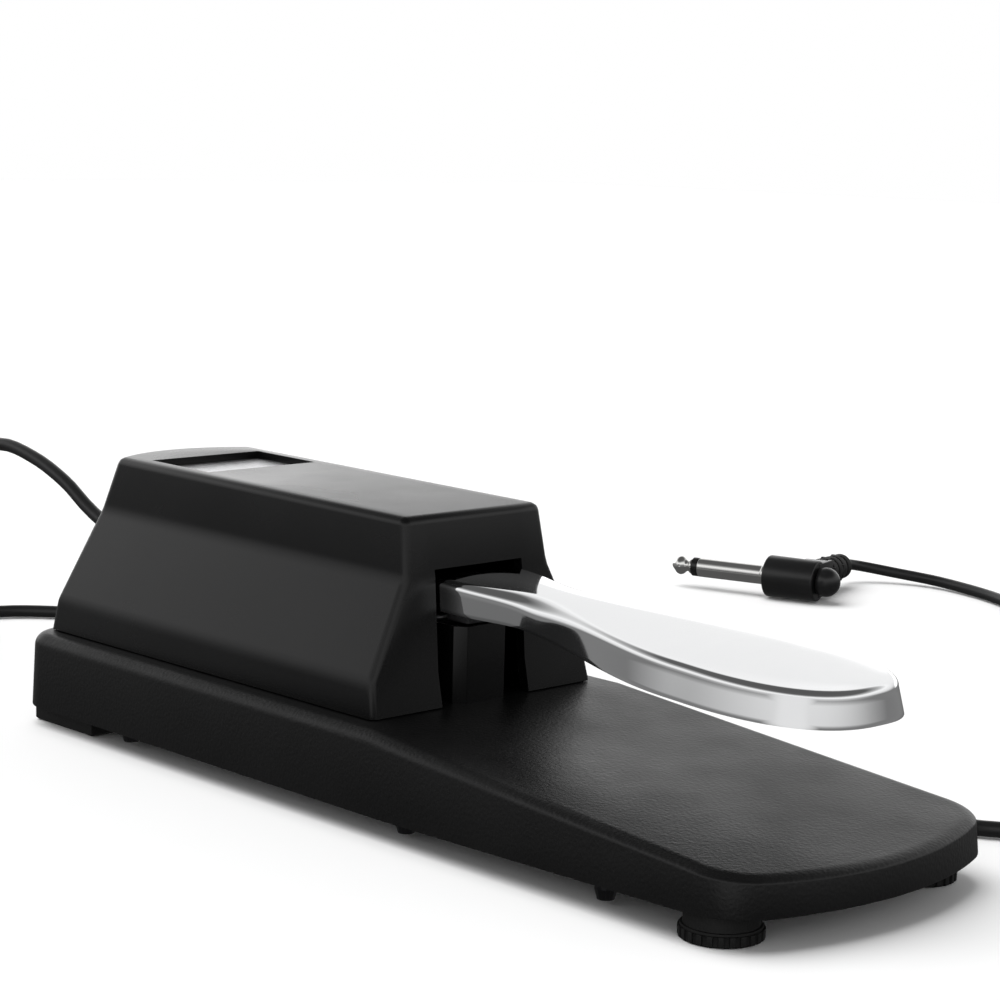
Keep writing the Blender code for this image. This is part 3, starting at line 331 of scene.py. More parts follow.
def rubGroup():  # hairline marks along one direction, and a soft haze
    group, start, end = newGroup(
        "hairlines", [("Along", 12.0), ("Across", 2600.0), ("Haze", 34.0)], ["Lines", "Haze"])
    spot, across = objectSpace(group, (-900, 0)), start.outputs["Across"]
    stretch = addNode(group, "CombineXYZ", (-700, 250), None, None,
                      {"X": across, "Y": start.outputs["Along"], "Z": across})
    scaled = addNode(group, "VectorMath", (-500, 150), {"operation": "MULTIPLY"}, None,
                     {0: spot, 1: stretch.outputs["Vector"]})
    lines = addNode(group, "TexNoise", (-250, 150), None, {"Scale": 1.0, "Detail": 4.0, "Roughness": 0.65},
                    {"Vector": scaled.outputs["Vector"]})
    haze = addNode(group, "TexNoise", (-250, -200), None,
                   {"Detail": 5.0, "Roughness": 0.6, "Distortion": 0.8},
                   {"Vector": spot, "Scale": start.outputs["Haze"]})
    group.links.new(lines.outputs["Fac"], end.inputs["Lines"])
    group.links.new(haze.outputs["Fac"], end.inputs["Haze"])
    return group


groups = {"grain": grainGroup(), "wear": wearGroup(), "dust": dustGroup(), "rub": rubGroup()}


def placeGroup(tree, key, place, values):
    node = addNode(tree, "Group", place)
    node.node_tree = groups[key]
    for label, value in values.items():
        node.inputs[label].default_value = value
    return node


def startMaterial(name, values):
    look = bpy.data.materials.new(name)
    look.use_nodes = True
    tree = look.node_tree
    shader = tree.nodes["Principled BSDF"]
    shader.location = (700, 0)
    for label, value in values.items():
        shader.inputs[label].default_value = value
    return look, tree, shader


def mixColour(tree, place, factor, a, b):
    node = addNode(tree, "Mix", place, {"data_type": "RGBA"}, None, {"Factor": factor})
    for socket, value in (("A", a), ("B", b)):
        spot = [s for s in node.inputs if s.name == socket and s.type == "RGBA"][0]
        if isinstance(value, tuple):
            spot.default_value = (*value, 1.0)
        else:
            tree.links.new(value, spot)
    return [s for s in node.outputs if s.type == "RGBA"][0]


def addBump(tree, place, look, height, shader):
    bump = addNode(tree, "Bump", place, None, {"Strength": look["bump"], "Distance": look["depth"]},
                   {"Height": height})
    tree.links.new(bump.outputs["Normal"], shader.inputs["Normal"])


# a moulded finish: grain, uneven tone, rubbed edges and a little dust
def mouldedLook(name, look):
    made, tree, shader = startMaterial(name, {
        "Specular IOR Level": look.get("specular", 0.5),
        "Coat Weight": look.get("coat", 0.0),
        "Coat Roughness": 0.25,
    })
    grain = placeGroup(tree, "grain", (-700, 0), {"Scale": look["grainScale"], "Blotch": look["blotch"]})
    wear = placeGroup(tree, "wear", (-700, 250), {"Reach": look["wearReach"], "Amount": look["wear"]})
    dust = placeGroup(tree, "dust", (-700, 450), {"Amount": look["dust"]})
    tone, rubbed = grain.outputs["Tone"], wear.outputs["Mask"]
    colour = mixColour(tree, (-400, 100), tone, look["dark"], look["light"])
    colour = mixColour(tree, (-150, 200), rubbed, colour, look["worn"])
    colour = mixColour(tree, (100, 300), dust.outputs["Mask"], colour, look["dustColour"])
    tree.links.new(colour, shader.inputs["Base Color"])
    rough = remap(tree, (100, 0), tone, 0.3, 0.7, *look["roughness"])
    rough = addNode(tree, "Mix", (350, 0), {"data_type": "FLOAT"}, {"B": look["wornRoughness"]},
                    {"A": rough, "Factor": rubbed})
    tree.links.new(rough.outputs["Result"], shader.inputs["Roughness"])
    addBump(tree, (400, -300), look, grain.outputs["Height"], shader)
    return made


# a metal finish: hairlines, haze and slightly darker, duller patches
def metalLook(name, look):
    made, tree, shader = startMaterial(name, {"Metallic": 1.0})
    rub = placeGroup(tree, "rub", (-700, 0),
                     {"Along": look["along"], "Across": look["across"], "Haze": look["haze"]})
    wear = placeGroup(tree, "wear", (-700, 250), {"Reach": look["wearReach"], "Amount": look["wear"]})
    haze, lines = rub.outputs["Haze"], rub.outputs["Lines"]
    colour = mixColour(tree, (-400, 100), haze, look["dark"], look["light"])
    colour = mixColour(tree, (-150, 200), wear.outputs["Mask"], colour, look["worn"])
    tree.links.new(colour, shader.inputs["Base Color"])
    both = addNode(tree, "Mix", (-400, -150), {"data_type": "FLOAT"}, {"Factor": look["lineShare"]},
                   {"A": haze, "B": lines})
    rough = remap(tree, (-100, -150), both.outputs["Result"], 0.3, 0.7, *look["roughness"])
    tree.links.new(rough, shader.inputs["Roughness"])
    addBump(tree, (300, -300), look, lines, shader)
    return made


mouldedSets = {
    "satinBlack": {
        "dark": (0.0018, 0.0018, 0.0019), "light": (0.0032, 0.0032, 0.0034), "worn": (0.014, 0.014, 0.0145),
        "dustColour": (0.06, 0.059, 0.057), "dust": 0.02, "roughness": (0.23, 0.29), "wornRoughness": 0.2,
        "grainScale": 2600.0, "blotch": 30.0, "bump": 0.16, "depth": 0.00006,
        "wear": 0.35, "wearReach": 0.0007,
        "specular": 0.36,
    },
    "grainBlack": {
        "dark": (0.0018, 0.0018, 0.0019), "light": (0.004, 0.004, 0.0042), "worn": (0.016, 0.016, 0.0165),
        "dustColour": (0.07, 0.069, 0.066), "dust": 0.03, "roughness": (0.34, 0.46), "wornRoughness": 0.28,
        "grainScale": 1300.0, "blotch": 34.0, "bump": 0.55, "depth": 0.00016,
        "wear": 0.3, "wearReach": 0.0007,
        "specular": 0.36,
    },
    "plugBlack": {
        "dark": (0.0045, 0.0045, 0.0048), "light": (0.008, 0.008, 0.0083), "worn": (0.03, 0.03, 0.03),
        "dustColour": (0.1, 0.1, 0.1), "dust": 0.03, "roughness": (0.26, 0.34), "wornRoughness": 0.22,
        "grainScale": 2600.0, "blotch": 60.0, "bump": 0.12, "depth": 0.00005,
        "wear": 0.4, "wearReach": 0.0003,
    },
    "softRubber": {
        "dark": (0.003, 0.003, 0.003), "light": (0.007, 0.007, 0.0069), "worn": (0.02, 0.02, 0.0195),
        "dustColour": (0.1, 0.097, 0.092), "dust": 0.07, "roughness": (0.58, 0.74), "wornRoughness": 0.5,
        "grainScale": 1500.0, "blotch": 90.0, "bump": 0.4, "depth": 0.00012,
        "wear": 0.4, "wearReach": 0.0004,
        "specular": 0.35,
    },
    "cordJacket": {
        "dark": (0.0055, 0.0055, 0.0058), "light": (0.0095, 0.0095, 0.0098), "worn": (0.02, 0.02, 0.02),
        "dustColour": (0.12, 0.117, 0.112), "dust": 0.05, "roughness": (0.36, 0.46), "wornRoughness": 0.4,
        "grainScale": 1700.0, "blotch": 70.0, "bump": 0.18, "depth": 0.00008,
        "wear": 0.0, "wearReach": 0.0002,
    },
    "naturalNylon": {
        "dark": (0.60, 0.585, 0.52), "light": (0.76, 0.745, 0.68), "worn": (0.85, 0.84, 0.79),
        "dustColour": (0.35, 0.33, 0.3), "dust": 0.06, "roughness": (0.4, 0.52), "wornRoughness": 0.38,
        "grainScale": 1600.0, "blotch": 120.0, "bump": 0.15, "depth": 0.00006,
        "wear": 0.3, "wearReach": 0.0003,
    },
    "boardLacquer": {
        "dark": (0.010, 0.10, 0.042), "light": (0.022, 0.17, 0.072), "worn": (0.30, 0.28, 0.14),
        "dustColour": (0.2, 0.2, 0.18), "dust": 0.06, "roughness": (0.25, 0.36), "wornRoughness": 0.5,
        "grainScale": 900.0, "blotch": 260.0, "bump": 0.12, "depth": 0.00005,
        "wear": 0.8, "wearReach": 0.0003,
        "coat": 0.3,
    },
    "padFelt": {
        "dark": (0.022, 0.022, 0.023), "light": (0.06, 0.06, 0.062), "worn": (0.08, 0.08, 0.082),
        "dustColour": (0.15, 0.15, 0.15), "dust": 0.08, "roughness": (0.92, 1.0), "wornRoughness": 0.95,
        "grainScale": 1900.0, "blotch": 420.0, "bump": 0.9, "depth": 0.0004,
        "wear": 0.4, "wearReach": 0.0004,
        "specular": 0.2,
    },
    "ringBlack": {
        "dark": (0.004, 0.004, 0.004), "light": (0.007, 0.007, 0.007), "worn": (0.02, 0.02, 0.02),
        "dustColour": (0.1, 0.1, 0.1), "dust": 0.02, "roughness": (0.2, 0.28), "wornRoughness": 0.2,
        "grainScale": 3000.0, "blotch": 200.0, "bump": 0.05, "depth": 0.00003,
        "wear": 0.3, "wearReach": 0.0002,
    },
}

metalSets = {
    "chromePlate": {
        "dark": (0.83, 0.835, 0.845), "light": (0.90, 0.905, 0.91), "worn": (0.93, 0.93, 0.935),
        "roughness": (0.035, 0.085), "along": 9.0, "across": 1900.0, "haze": 26.0, "lineShare": 0.25,
        "bump": 0.02, "depth": 0.00002, "wear": 0.4, "wearReach": 0.0006,
    },
    "jackNickel": {
        "dark": (0.78, 0.775, 0.76), "light": (0.87, 0.865, 0.85), "worn": (0.8, 0.78, 0.73),
        "roughness": (0.08, 0.16), "along": 60.0, "across": 2600.0, "haze": 140.0, "lineShare": 0.5,
        "bump": 0.03, "depth": 0.00002, "wear": 0.4, "wearReach": 0.0003,
    },
    "zincSteel": {
        "dark": (0.40, 0.405, 0.42), "light": (0.60, 0.60, 0.615), "worn": (0.70, 0.70, 0.71),
        "roughness": (0.24, 0.42), "along": 90.0, "across": 700.0, "haze": 110.0, "lineShare": 0.35,
        "bump": 0.08, "depth": 0.00005, "wear": 0.7, "wearReach": 0.0003,
    },
    "blackSteel": {
        "dark": (0.030, 0.030, 0.032), "light": (0.055, 0.055, 0.058), "worn": (0.4, 0.4, 0.41),
        "roughness": (0.34, 0.48), "along": 60.0, "across": 900.0, "haze": 80.0, "lineShare": 0.3,
        "bump": 0.08, "depth": 0.00005, "wear": 0.5, "wearReach": 0.0003,
    },
    "brushedSilver": {
        "dark": (0.60, 0.60, 0.615), "light": (0.76, 0.76, 0.775), "worn": (0.85, 0.85, 0.86),
        "roughness": (0.22, 0.36), "along": 5000.0, "across": 26.0, "haze": 60.0, "lineShare": 0.7,
        "bump": 0.12, "depth": 0.00004, "wear": 0.6, "wearReach": 0.0003,
    },
}

looks = {name: mouldedLook(name, s) for name, s in mouldedSets.items()}
looks.update({name: metalLook(name, s) for name, s in metalSets.items()})
print("finishes made:", len(looks))


# cord: out of the housing, over and down, a coil of two layers behind the pedal, and to the plug

cordSet = {
    "diameter": 3.6 * mm,
    "glandPlace": (0.0, 119.63 * mm, 40.0 * mm),
    "glandTilt": 10.2,
    "glandReach": 20.0 * mm,
    "coilCentre": (76.0 * mm, 172.0 * mm),
    "turnRadii": (25.2 * mm, 21.5 * mm, 17.8 * mm),
    "layerHeights": (2.7 * mm, 6.4 * mm),
    "coilSteps": 24,
    "lead": [
        (0.0, 151.0, 47.6), (0.0, 160.5, 52.6), (0.0, 175.5, 57.4), (-0.5, 192.0, 59.4), (-3.5, 206.5, 54.6),
        (-7.0, 217.5, 43.5), (-9.0, 225.5, 28.5), (-7.0, 232.0, 14.0), (1.0, 236.5, 4.6), (14.0, 237.0, 2.0),
        (29.0, 232.5, 1.9), (41.0, 221.0, 1.9), (48.4, 205.0, 2.1), (50.8, 186.55, 2.7),
    ],
    "tail": [
        (50.8, 157.45, 5.9), (51.3, 140.0, 3.2), (52.6, 122.0, 1.9), (54.5, 95.0, 1.9), (55.8, 55.0, 1.9),
        (56.0, 10.0, 1.9), (56.0, -40.0, 1.9), (58.5, -80.0, 1.9), (71.0, -105.0, 1.9), (95.0, -111.0, 1.9),
        (122.0, -98.0, 1.9), (165.0, -64.0, 1.9), (215.0, -22.0, 1.9), (262.0, 20.0, 1.9),
        (293.0, 55.0, 1.9), (304.5, 88.0, 2.2), (300.5, 108.0, 3.6),
    ],
}

plugSet = {
    "place": (246.0 * mm, 118.0 * mm, 6.95 * mm),
    "turn": 106.7,
    "bodyRadius": 6.85 * mm,
    "bodyLength": 17.9 * mm,
    "shaftRadius": 3.175 * mm,
    "shaftLength": 35.0 * mm,
    "reliefDrop": 12.4 * mm,
    "reliefStart": 12.2 * mm,
    "reliefLength": 20.8 * mm,
    "knobRadius": 4.8 * mm,
}


def glandFrame():
    s = cordSet
    tilt = math.radians(s["glandTilt"] - 90)
    return Matrix.Translation(s["glandPlace"]) @ Matrix.Rotation(tilt, 4, "X")


def plugFrame():  # Z along the shaft, X along the strain relief
    turn = math.radians(plugSet["turn"])
    along = Vector((math.cos(turn), math.sin(turn), 0))
    side = Vector((math.sin(turn), -math.cos(turn), 0))
    axes = Matrix((side, along.cross(side), along)).transposed().to_4x4()
    return Matrix.Translation(plugSet["place"]) @ axes


def smoothThrough(points, step):
    fine = []
    ends = [2 * points[0] - points[1]] + points + [2 * points[-1] - points[-2]]
    for a, b, c, d in zip(ends, ends[1:], ends[2:], ends[3:]):
        for k in range(20):
            t = k / 20
            square = 2 * a - 5 * b + 4 * c - d
            cube = 3 * b - a - 3 * c + d
            fine.append(0.5 * (2 * b + (c - a) * t + square * t * t + cube * t**3))
    fine.append(points[-1])
    total = sum((q - p).length for p, q in zip(fine, fine[1:]))
    count = max(2, round(total / step))
    spaced, travelled, target = [fine[0]], 0.0, total / count
    for p, q in zip(fine, fine[1:]):
        run = (q - p).length
        while travelled + run >= target and len(spaced) < count:
            spaced.append(p.lerp(q, (target - travelled) / run))
            target += total / count
        travelled += run
    spaced.append(fine[-1])
    return spaced


# five turns: three inwards on the floor, then up and two outwards on top of them. Where the turns
# cross, the outward steps come first round the circle, then the climb, then the inward steps.
def coilPoints(s):
    cx, cy = s["coilCentre"]
    outer, middle, inner = s["turnRadii"]
    low, high = s["layerHeights"]
    rings = [
        (outer, middle, low, low, 0.76), (middle, inner, low, low, 0.76), (inner, inner, low, high, 0.52),
        (inner, middle, high, high, 0.28), (middle, outer, high, high, 0.28),
    ]
    steps, points = s["coilSteps"], []
    for turn, (radius, nextRadius, height, nextHeight, start) in enumerate(rings):
        for k in range(steps + (turn == len(rings) - 1)):
            share = smoothStep((k / steps - start) / 0.24)
            angle = math.pi + 2 * math.pi * k / steps
            reach = radius + (nextRadius - radius) * share
            points.append(Vector((cx + reach * math.cos(angle), cy + reach * math.sin(angle),
                                  height + (nextHeight - height) * share)))
    return points


def makeCord(s):
    gland, plug = glandFrame(), plugFrame()
    start, *ahead = [gland @ Vector((0, 0, s["glandReach"] + d * mm)) for d in (-4.0, 0.3, 4.0)]
    reliefEnd, drop = plugSet["reliefStart"] + plugSet["reliefLength"], -plugSet["reliefDrop"]
    before, *intoPlug = [plug @ Vector((reliefEnd + d * mm, 0, drop)) for d in (9.0, 0.3, -4.0)]
    before.z -= 0.9 * mm
    lead = [start] + ahead + [Vector(p) * mm for p in s["lead"]]
    coil = coilPoints(s)
    tail = [Vector(p) * mm for p in s["tail"]] + [before] + intoPlug
    route = smoothThrough(lead + coil + tail, 4.0 * mm)
    data = bpy.data.curves.new("cord", "CURVE")
    data.dimensions = "3D"
    data.bevel_depth = s["diameter"] / 2
    data.bevel_resolution = 5
    data.use_fill_caps = True
    line = data.splines.new("POLY")
    line.points.add(len(route) - 1)
    for spot, p in zip(line.points, route):
        spot.co = (*p, 1.0)
    line.use_smooth = True
    cord = bpy.data.objects.new("cord", data)
    bpy.context.scene.collection.objects.link(cord)
    length = sum((q - p).length for p, q in zip(route, route[1:]))
    print("cord length", round(length, 4), "points", len(route))
    finishPiece(cord, looks["cordJacket"], "base", ["cord_lead", "cord_coil", "cord_tail"])
    return cord, route[0], length


cord, cordExit, cordLength = makeCord(cordSet)


# housing: three sloping bands, a mouth for the lever and a sunk panel on top

coverSet = {
    # height, half width, front y, rear y at the middle, rear arc radius, share of the top's rise
    "levels": [
        (23.3, 33.80, -8.17, 122.69, 90.8, 0.0),
        (30.9, 33.0, -6.5, 121.3, 88.0, 0.0),
        (52.2, 22.1, -4.8, 117.4, 42.0, 1.0),
        (65.75, 20.8, -2.7, 112.0, 37.0, 1.0),
    ],
    "rise": 0.0105,
    "edge": 1.9 * mm,
    "edgeSegments": 6,
    "wall": 2.6 * mm,
    "rearSteps": 24,
    "mouth": (13.3 * mm, 53.8 * mm),
    "recess": (16.6 * mm, 74.0 * mm, 97.1 * mm, 2.7 * mm),
}


def coverPoint(level, across, isRear):
    height, half, front, rear, arc, rises = level
    x = across * half
    y = front if not isRear else rear - arc + math.sqrt(arc * arc - x * x)
    z = height + rises * coverSet["rise"] * (y - front)
    return Vector((x, y, z)) * mm


def makeCover(s):
    deselectAll()
    bpy.ops.mesh.primitive_plane_add(size=2.0, location=(0, 0, 0))
    cover = nameNew("cover")
    startEdit(cover, "EDGE")
    pickEdges(cover, lambda e: midPoint(e).y > 0.9)
    bpy.ops.mesh.subdivide(number_cuts=s["rearSteps"] - 1)
    shape = bmesh.from_edit_mesh(cover.data)
    column = {v.index: (v.co.x, v.co.y > 0) for v in shape.verts}
    for v in shape.verts:
        v.co = coverPoint(s["levels"][0], *column[v.index])
    bmesh.update_edit_mesh(cover.data)
    for low, level in zip(s["levels"], s["levels"][1:]):
        bpy.ops.mesh.select_mode(type="FACE")
        bpy.ops.mesh.select_all(action="DESELECT")
        shape = bmesh.from_edit_mesh(cover.data)
        shape.faces.ensure_lookup_table()
        flat = [f for f in shape.faces if abs(f.normal.z) > 0.9]
        top = max(flat, key=lambda f: f.calc_center_median().z)
        top.select_set(True)
        extrudeBy(0, 0, (level[0] - low[0]) * mm)

        def lift(p, low=low, level=level):
            half = low[1] * mm
            across = max(-1.0, min(1.0, p.x / half))
            isRear = p.y > 60 * mm
            return coverPoint(level, across, isRear)

        moveVerts(cover, lift, True)
    pickFaces(cover, lambda f: f.normal.z < -0.9 and f.calc_center_median().z < 25 * mm)
    bpy.ops.mesh.delete(type="ONLY_FACE")
    bpy.ops.mesh.select_all(action="SELECT")
    bpy.ops.mesh.normals_make_consistent(inside=False)
    pickEdges(cover, lambda e: edgeAngle(e) > 14)
    bpy.ops.mesh.bevel(offset=s["edge"], offset_type="OFFSET", segments=s["edgeSegments"], profile=0.5,
                       affect="EDGES", clamp_overlap=True)
    # sunk panel
    half, front, rear, depth = s["recess"]
    across, along, upwards = (1, 0, 0), (0, 1, 0), (0, 0, 1)
    cuts = [((half, 0, 0), across), ((-half, 0, 0), across), ((0, front, 0), along), ((0, rear, 0), along)]
    for place, normal in cuts:
        pickFaces(cover, lambda f: f.normal.z > 0.999 and f.calc_center_median().z > 60 * mm)
        bpy.ops.mesh.bisect(plane_co=place, plane_no=normal)

    def inRecess(f):
        c = f.calc_center_median()
        return f.normal.z > 0.99 and c.z > 60 * mm and abs(c.x) < half and front < c.y < rear

    pickFaces(cover, inRecess)
    extrudeBy(0, 0, -depth)
    # lever's mouth
    mouthHalf, mouthTop = s["mouth"]
    cuts = [((mouthHalf, 0, 0), across), ((-mouthHalf, 0, 0), across), ((0, 0, mouthTop), upwards)]
    for place, normal in cuts:
        pickFaces(cover, lambda f: f.normal.y < -0.8)
        bpy.ops.mesh.bisect(plane_co=place, plane_no=normal)

    def inMouth(f):
        c = f.calc_center_median()
        return f.normal.y < -0.5 and c.y < 1 * mm and abs(c.x) < mouthHalf and c.z < mouthTop

    pickFaces(cover, inMouth)
    bpy.ops.mesh.delete(type="FACE")
    endEdit()
    addModifier(cover, "SOLIDIFY", thickness=s["wall"], offset=-1.0, use_even_offset=True,
                thickness_clamp=0.0)
    applyModifiers(cover)
    cutRound(cover, glandFrame(), 4.2 * mm, 14 * mm)
    softEdges(cover, 0.4 * mm, 3, 50)
    evenNormals(cover)
    applyModifiers(cover)
    smooth(cover, 30)
    finishPiece(cover, looks["satinBlack"], "base", ["top_cover"])
    print("housing", len(cover.data.polygons))
    return cover


def cutRound(obj, place, radius, reach):
    deselectAll()
    bpy.ops.mesh.primitive_cylinder_add(vertices=40, radius=radius, depth=2 * reach)
    cutter = nameNew("cutter")
    cutter.matrix_world = place
    bpy.context.view_layer.update()
    step = addModifier(obj, "BOOLEAN", operation="DIFFERENCE", solver="EXACT", object=cutter)
    makeActive(obj)
    bpy.ops.object.modifier_apply(modifier=step.name)
    bpy.data.objects.remove(cutter, do_unlink=True)


cover = makeCover(coverSet)


# base: bowed ends, round corners, a fillet round the top, and a top that runs down to the front

baseSet = {
    "halfLength": 126.4 * mm,
    "halfWidth": 40.6 * mm,
    "top": 23.0 * mm,
    "rim": 4.6 * mm,
    "wall": 2.9 * mm,
    "roof": 2.5 * mm,
    "fillet": 3.1 * mm,
    "draft": 0.8 * mm,
    "ends": [(-1, 85.0 * mm, 14.0 * mm), (1, 100.0 * mm, 10.0 * mm)],
    "slopeStart": -13.0 * mm,
    "slope": 0.08,
    "rimStart": -21.4 * mm,
    "rimSlope": 0.02,
    "endSteps": 26,
    "cornerSteps": 14,
}


def arcPoints(centre, radius, start, end, steps):
    return [
        Vector((centre[0] + radius * math.cos(start + (end - start) * i / steps),
                centre[1] + radius * math.sin(start + (end - start) * i / steps), 0))
        for i in range(steps + 1)
    ]


def baseOutline(s, inset):
    width, points = s["halfWidth"] - inset, []
    for side, arc, corner in s["ends"]:
        radius, small = arc - inset, corner - inset
        middle = side * (s["halfLength"] - arc)
        cx = width - small
        cy = middle + side * math.sqrt((radius - small) ** 2 - cx * cx)
        lean = math.atan2(abs(cy - middle), cx)
        n, c = s["endSteps"], s["cornerSteps"]
        if side < 0:
            points += arcPoints((-cx, cy), small, math.pi, math.pi + lean, c)
            points += arcPoints((0, middle), radius, math.pi + lean, 2 * math.pi - lean, n)[1:-1]
            points += arcPoints((cx, cy), small, 2 * math.pi - lean, 2 * math.pi, c)
        else:
            points += arcPoints((cx, cy), small, 0, lean, c)
            points += arcPoints((0, middle), radius, lean, math.pi - lean, n)[1:-1]
            points += arcPoints((-cx, cy), small, math.pi - lean, math.pi, c)
    return points


def topHeight(s, y):
    return s["top"] + s["slope"] * min(0.0, y - s["slopeStart"])


def rimHeight(s, y):
    return s["rim"] + s["rimSlope"] * max(0.0, s["rimStart"] - y)


def makeBase(s):
    low, high = baseOutline(s, 0.0), baseOutline(s, s["draft"])
    deselectAll()
    bpy.ops.mesh.primitive_circle_add(vertices=len(low), radius=1.0, fill_type="NGON", location=(0, 0, 0))
    base = nameNew("baseShell")
    startEdit(base)
    shape = bmesh.from_edit_mesh(base.data)
    shape.verts.ensure_lookup_table()
    for v, p in zip(shape.verts, low):
        v.co = (p.x, p.y, s["rim"])
    bmesh.update_edit_mesh(base.data)
    bpy.ops.mesh.select_all(action="SELECT")
    extrudeBy(0, 0, s["top"] - s["rim"])
    byPlace = {(round(p.x, 7), round(p.y, 7)): q for p, q in zip(low, high)}
    moveVerts(base, lambda p: Vector((*nearest(byPlace, p), p.z)), True)
    bpy.ops.mesh.select_all(action="SELECT")
    bpy.ops.mesh.normals_make_consistent(inside=False)
    pickEdges(base, lambda e: min(v.co.z for v in e.verts) > s["top"] - 0.01 * mm)
    bpy.ops.mesh.bevel(offset=s["fillet"], segments=9, profile=0.5, affect="EDGES", clamp_overlap=True)
    pickFaces(base, lambda f: f.normal.z < -0.99)
    bpy.ops.mesh.inset(thickness=s["wall"])
    pickFaces(base, lambda f: f.normal.z < -0.99 and len(f.verts) > 8)
    extrudeBy(0, 0, s["top"] - s["roof"] - s["rim"])
    for bend in (s["slopeStart"], s["rimStart"]):
        bpy.ops.mesh.select_all(action="SELECT")
        bpy.ops.mesh.bisect(plane_co=(0, bend, 0), plane_no=(0, 1, 0))

    def slant(p):
        share = (p.z - s["rim"]) / (s["top"] - s["rim"])
        bottom, top = rimHeight(s, p.y), topHeight(s, p.y)
        return Vector((p.x, p.y, bottom + share * (top - bottom)))

    moveVerts(base, slant)
    endEdit()
    softEdges(base, 0.35 * mm, 2, 50)
    evenNormals(base)
    applyModifiers(base)
    smooth(base, 30)
    finishPiece(base, looks["grainBlack"], "base", ["base_shell"])
    print("base", len(base.data.polygons))
    return base


def nearest(table, p):
    key = min(table, key=lambda k: (k[0] - p.x) ** 2 + (k[1] - p.y) ** 2)
    q = table[key]
    return q.x, q.y


base = makeBase(baseSet)


# post between the lever's skirts

postSet = {"front": -7.7 * mm, "back": 0.7 * mm, "half": 8.0 * mm, "low": 22.6 * mm}


def makePost(s):
    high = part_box("down_stop_pad")[0].z - 0.3 * mm
    deselectAll()
    middle = (s["front"] + s["back"]) / 2
    bpy.ops.mesh.primitive_cube_add(size=1.0, location=(0, middle, (s["low"] + high) / 2))
    post = nameNew("stopPost")
    post.dimensions = (2 * s["half"], s["back"] - s["front"], high - s["low"])
    applyPlace(post)
    startEdit(post, "EDGE")
    pickEdges(post, lambda e: abs(e.verts[0].co.z - e.verts[1].co.z) > 5 * mm and midPoint(e).y < middle)
    bpy.ops.mesh.bevel(offset=2.3 * mm, segments=1, affect="EDGES")
    pickFaces(post, lambda f: f.normal.z > 0.9)
    bpy.ops.mesh.inset(thickness=1.1 * mm)
    extrudeBy(0, 0, -0.3 * mm)
    endEdit()
    softEdges(post, 0.35 * mm, 3, 30)
    applyModifiers(post)
    smooth(post, 35)
    finishPiece(post, looks["satinBlack"], "base")
    print("post")


makePost(postSet)


# lever: a thin chromed pressing, narrow at the mouth, wide and round at the toe

leverSet = {
    "mouthY": -8.3 * mm,
    "waist": (-27.0 * mm, 9.9 * mm),
    "noseCentre": -88.0 * mm,
    "noseTip": -118.0 * mm,
    "nosePower": 2.25,
    "noseHalf": 20.5 * mm,
    "neckHalf": 12.7 * mm,
    "flareEnd": -82.0 * mm,
    "rear": 62.0 * mm,
    "top": 51.5 * mm,
    "slope": 0.045,
    "bow": 0.104,            # per metre
    "crown": 0.8 * mm,
    "edge": 1.8 * mm,
    "shoulder": (-33.0 * mm, 15.0 * mm, 3.6 * mm, 1.5 * mm),  # middle, reach, extra width and depth
    "wall": 1.6 * mm,
    "skirt": 7.2 * mm,
    "flare": 1.3 * mm,
    "columns": 24,
    "noseRows": 16,
    "bodyRows": 70,
}


def leverHalf(s, y):
    if y > s["mouthY"]:
        return s["neckHalf"]
    waistY, waistHalf = s["waist"]
    if y > waistY:
        return waistHalf + (s["neckHalf"] - waistHalf) * smoothStep((y - waistY) / (s["mouthY"] - waistY))
    if y > s["noseCentre"]:
        share = smoothStep((waistY - y) / (waistY - s["flareEnd"]))
        return waistHalf + (s["noseHalf"] - waistHalf) * share
    reach = (s["noseCentre"] - y) / (s["noseCentre"] - s["noseTip"])
    return s["noseHalf"] * max(0.0, 1 - reach ** s["nosePower"]) ** (1 / s["nosePower"])


def leverTop(s, y):
    run = y - s["mouthY"]
    return s["top"] + s["slope"] * run - (s["bow"] * run * run if run < 0 else 0.0)


def leverSurface(s, x, y):
    half = max(leverHalf(s, y), 0.5 * mm)
    share = min(1.0, abs(x) / half)
    fade = 1 - (1 - min(1.0, half / s["noseHalf"] * 1.4)) ** 2
    return leverTop(s, y) + s["crown"] * (1 - share * share) * fade


def leverEdge(s, y):  # the rounded edge's width and depth, both more at the narrow shoulders
    middle, reach, out, down = s["shoulder"]
    swell = math.exp(-((y - middle) / reach) ** 2)
    return s["edge"] + out * swell, s["edge"] + down * swell


def growRim(obj, steps):  # the open rim extruded again and again, out and down by each step
    shape = bmesh.from_edit_mesh(obj.data)
    rim = {}
    for v in shape.verts:
        beside = [e.other_vert(v).co for e in v.link_edges if len(e.link_faces) == 1]
        if len(beside) == 2:
            run = (beside[1] - beside[0]).normalized()
            out = Vector((run.y, -run.x, 0)).normalized()
            inner = sum((f.calc_center_median() for f in v.link_faces), Vector()) / len(v.link_faces)
            if out.dot(inner - v.co) > 0:
                out = -out
            rim[roundKey(v.co)] = (v.co.copy(), out)
    for out, down in steps:
        pickEdges(obj, lambda e: len(e.link_faces) == 1)
        extrudeBy(0, 0, 0)
        shape = bmesh.from_edit_mesh(obj.data)
        after = {}
        for v in shape.verts:
            if v.select:
                origin, way = rim[roundKey(v.co)]
                v.co = origin + way * out(origin) - Vector((0, 0, down(origin)))
                after[roundKey(v.co)] = (origin, way)
        rim = after
        bmesh.update_edit_mesh(obj.data)


def roundKey(p):
    return tuple(round(c * 1e7) for c in p)


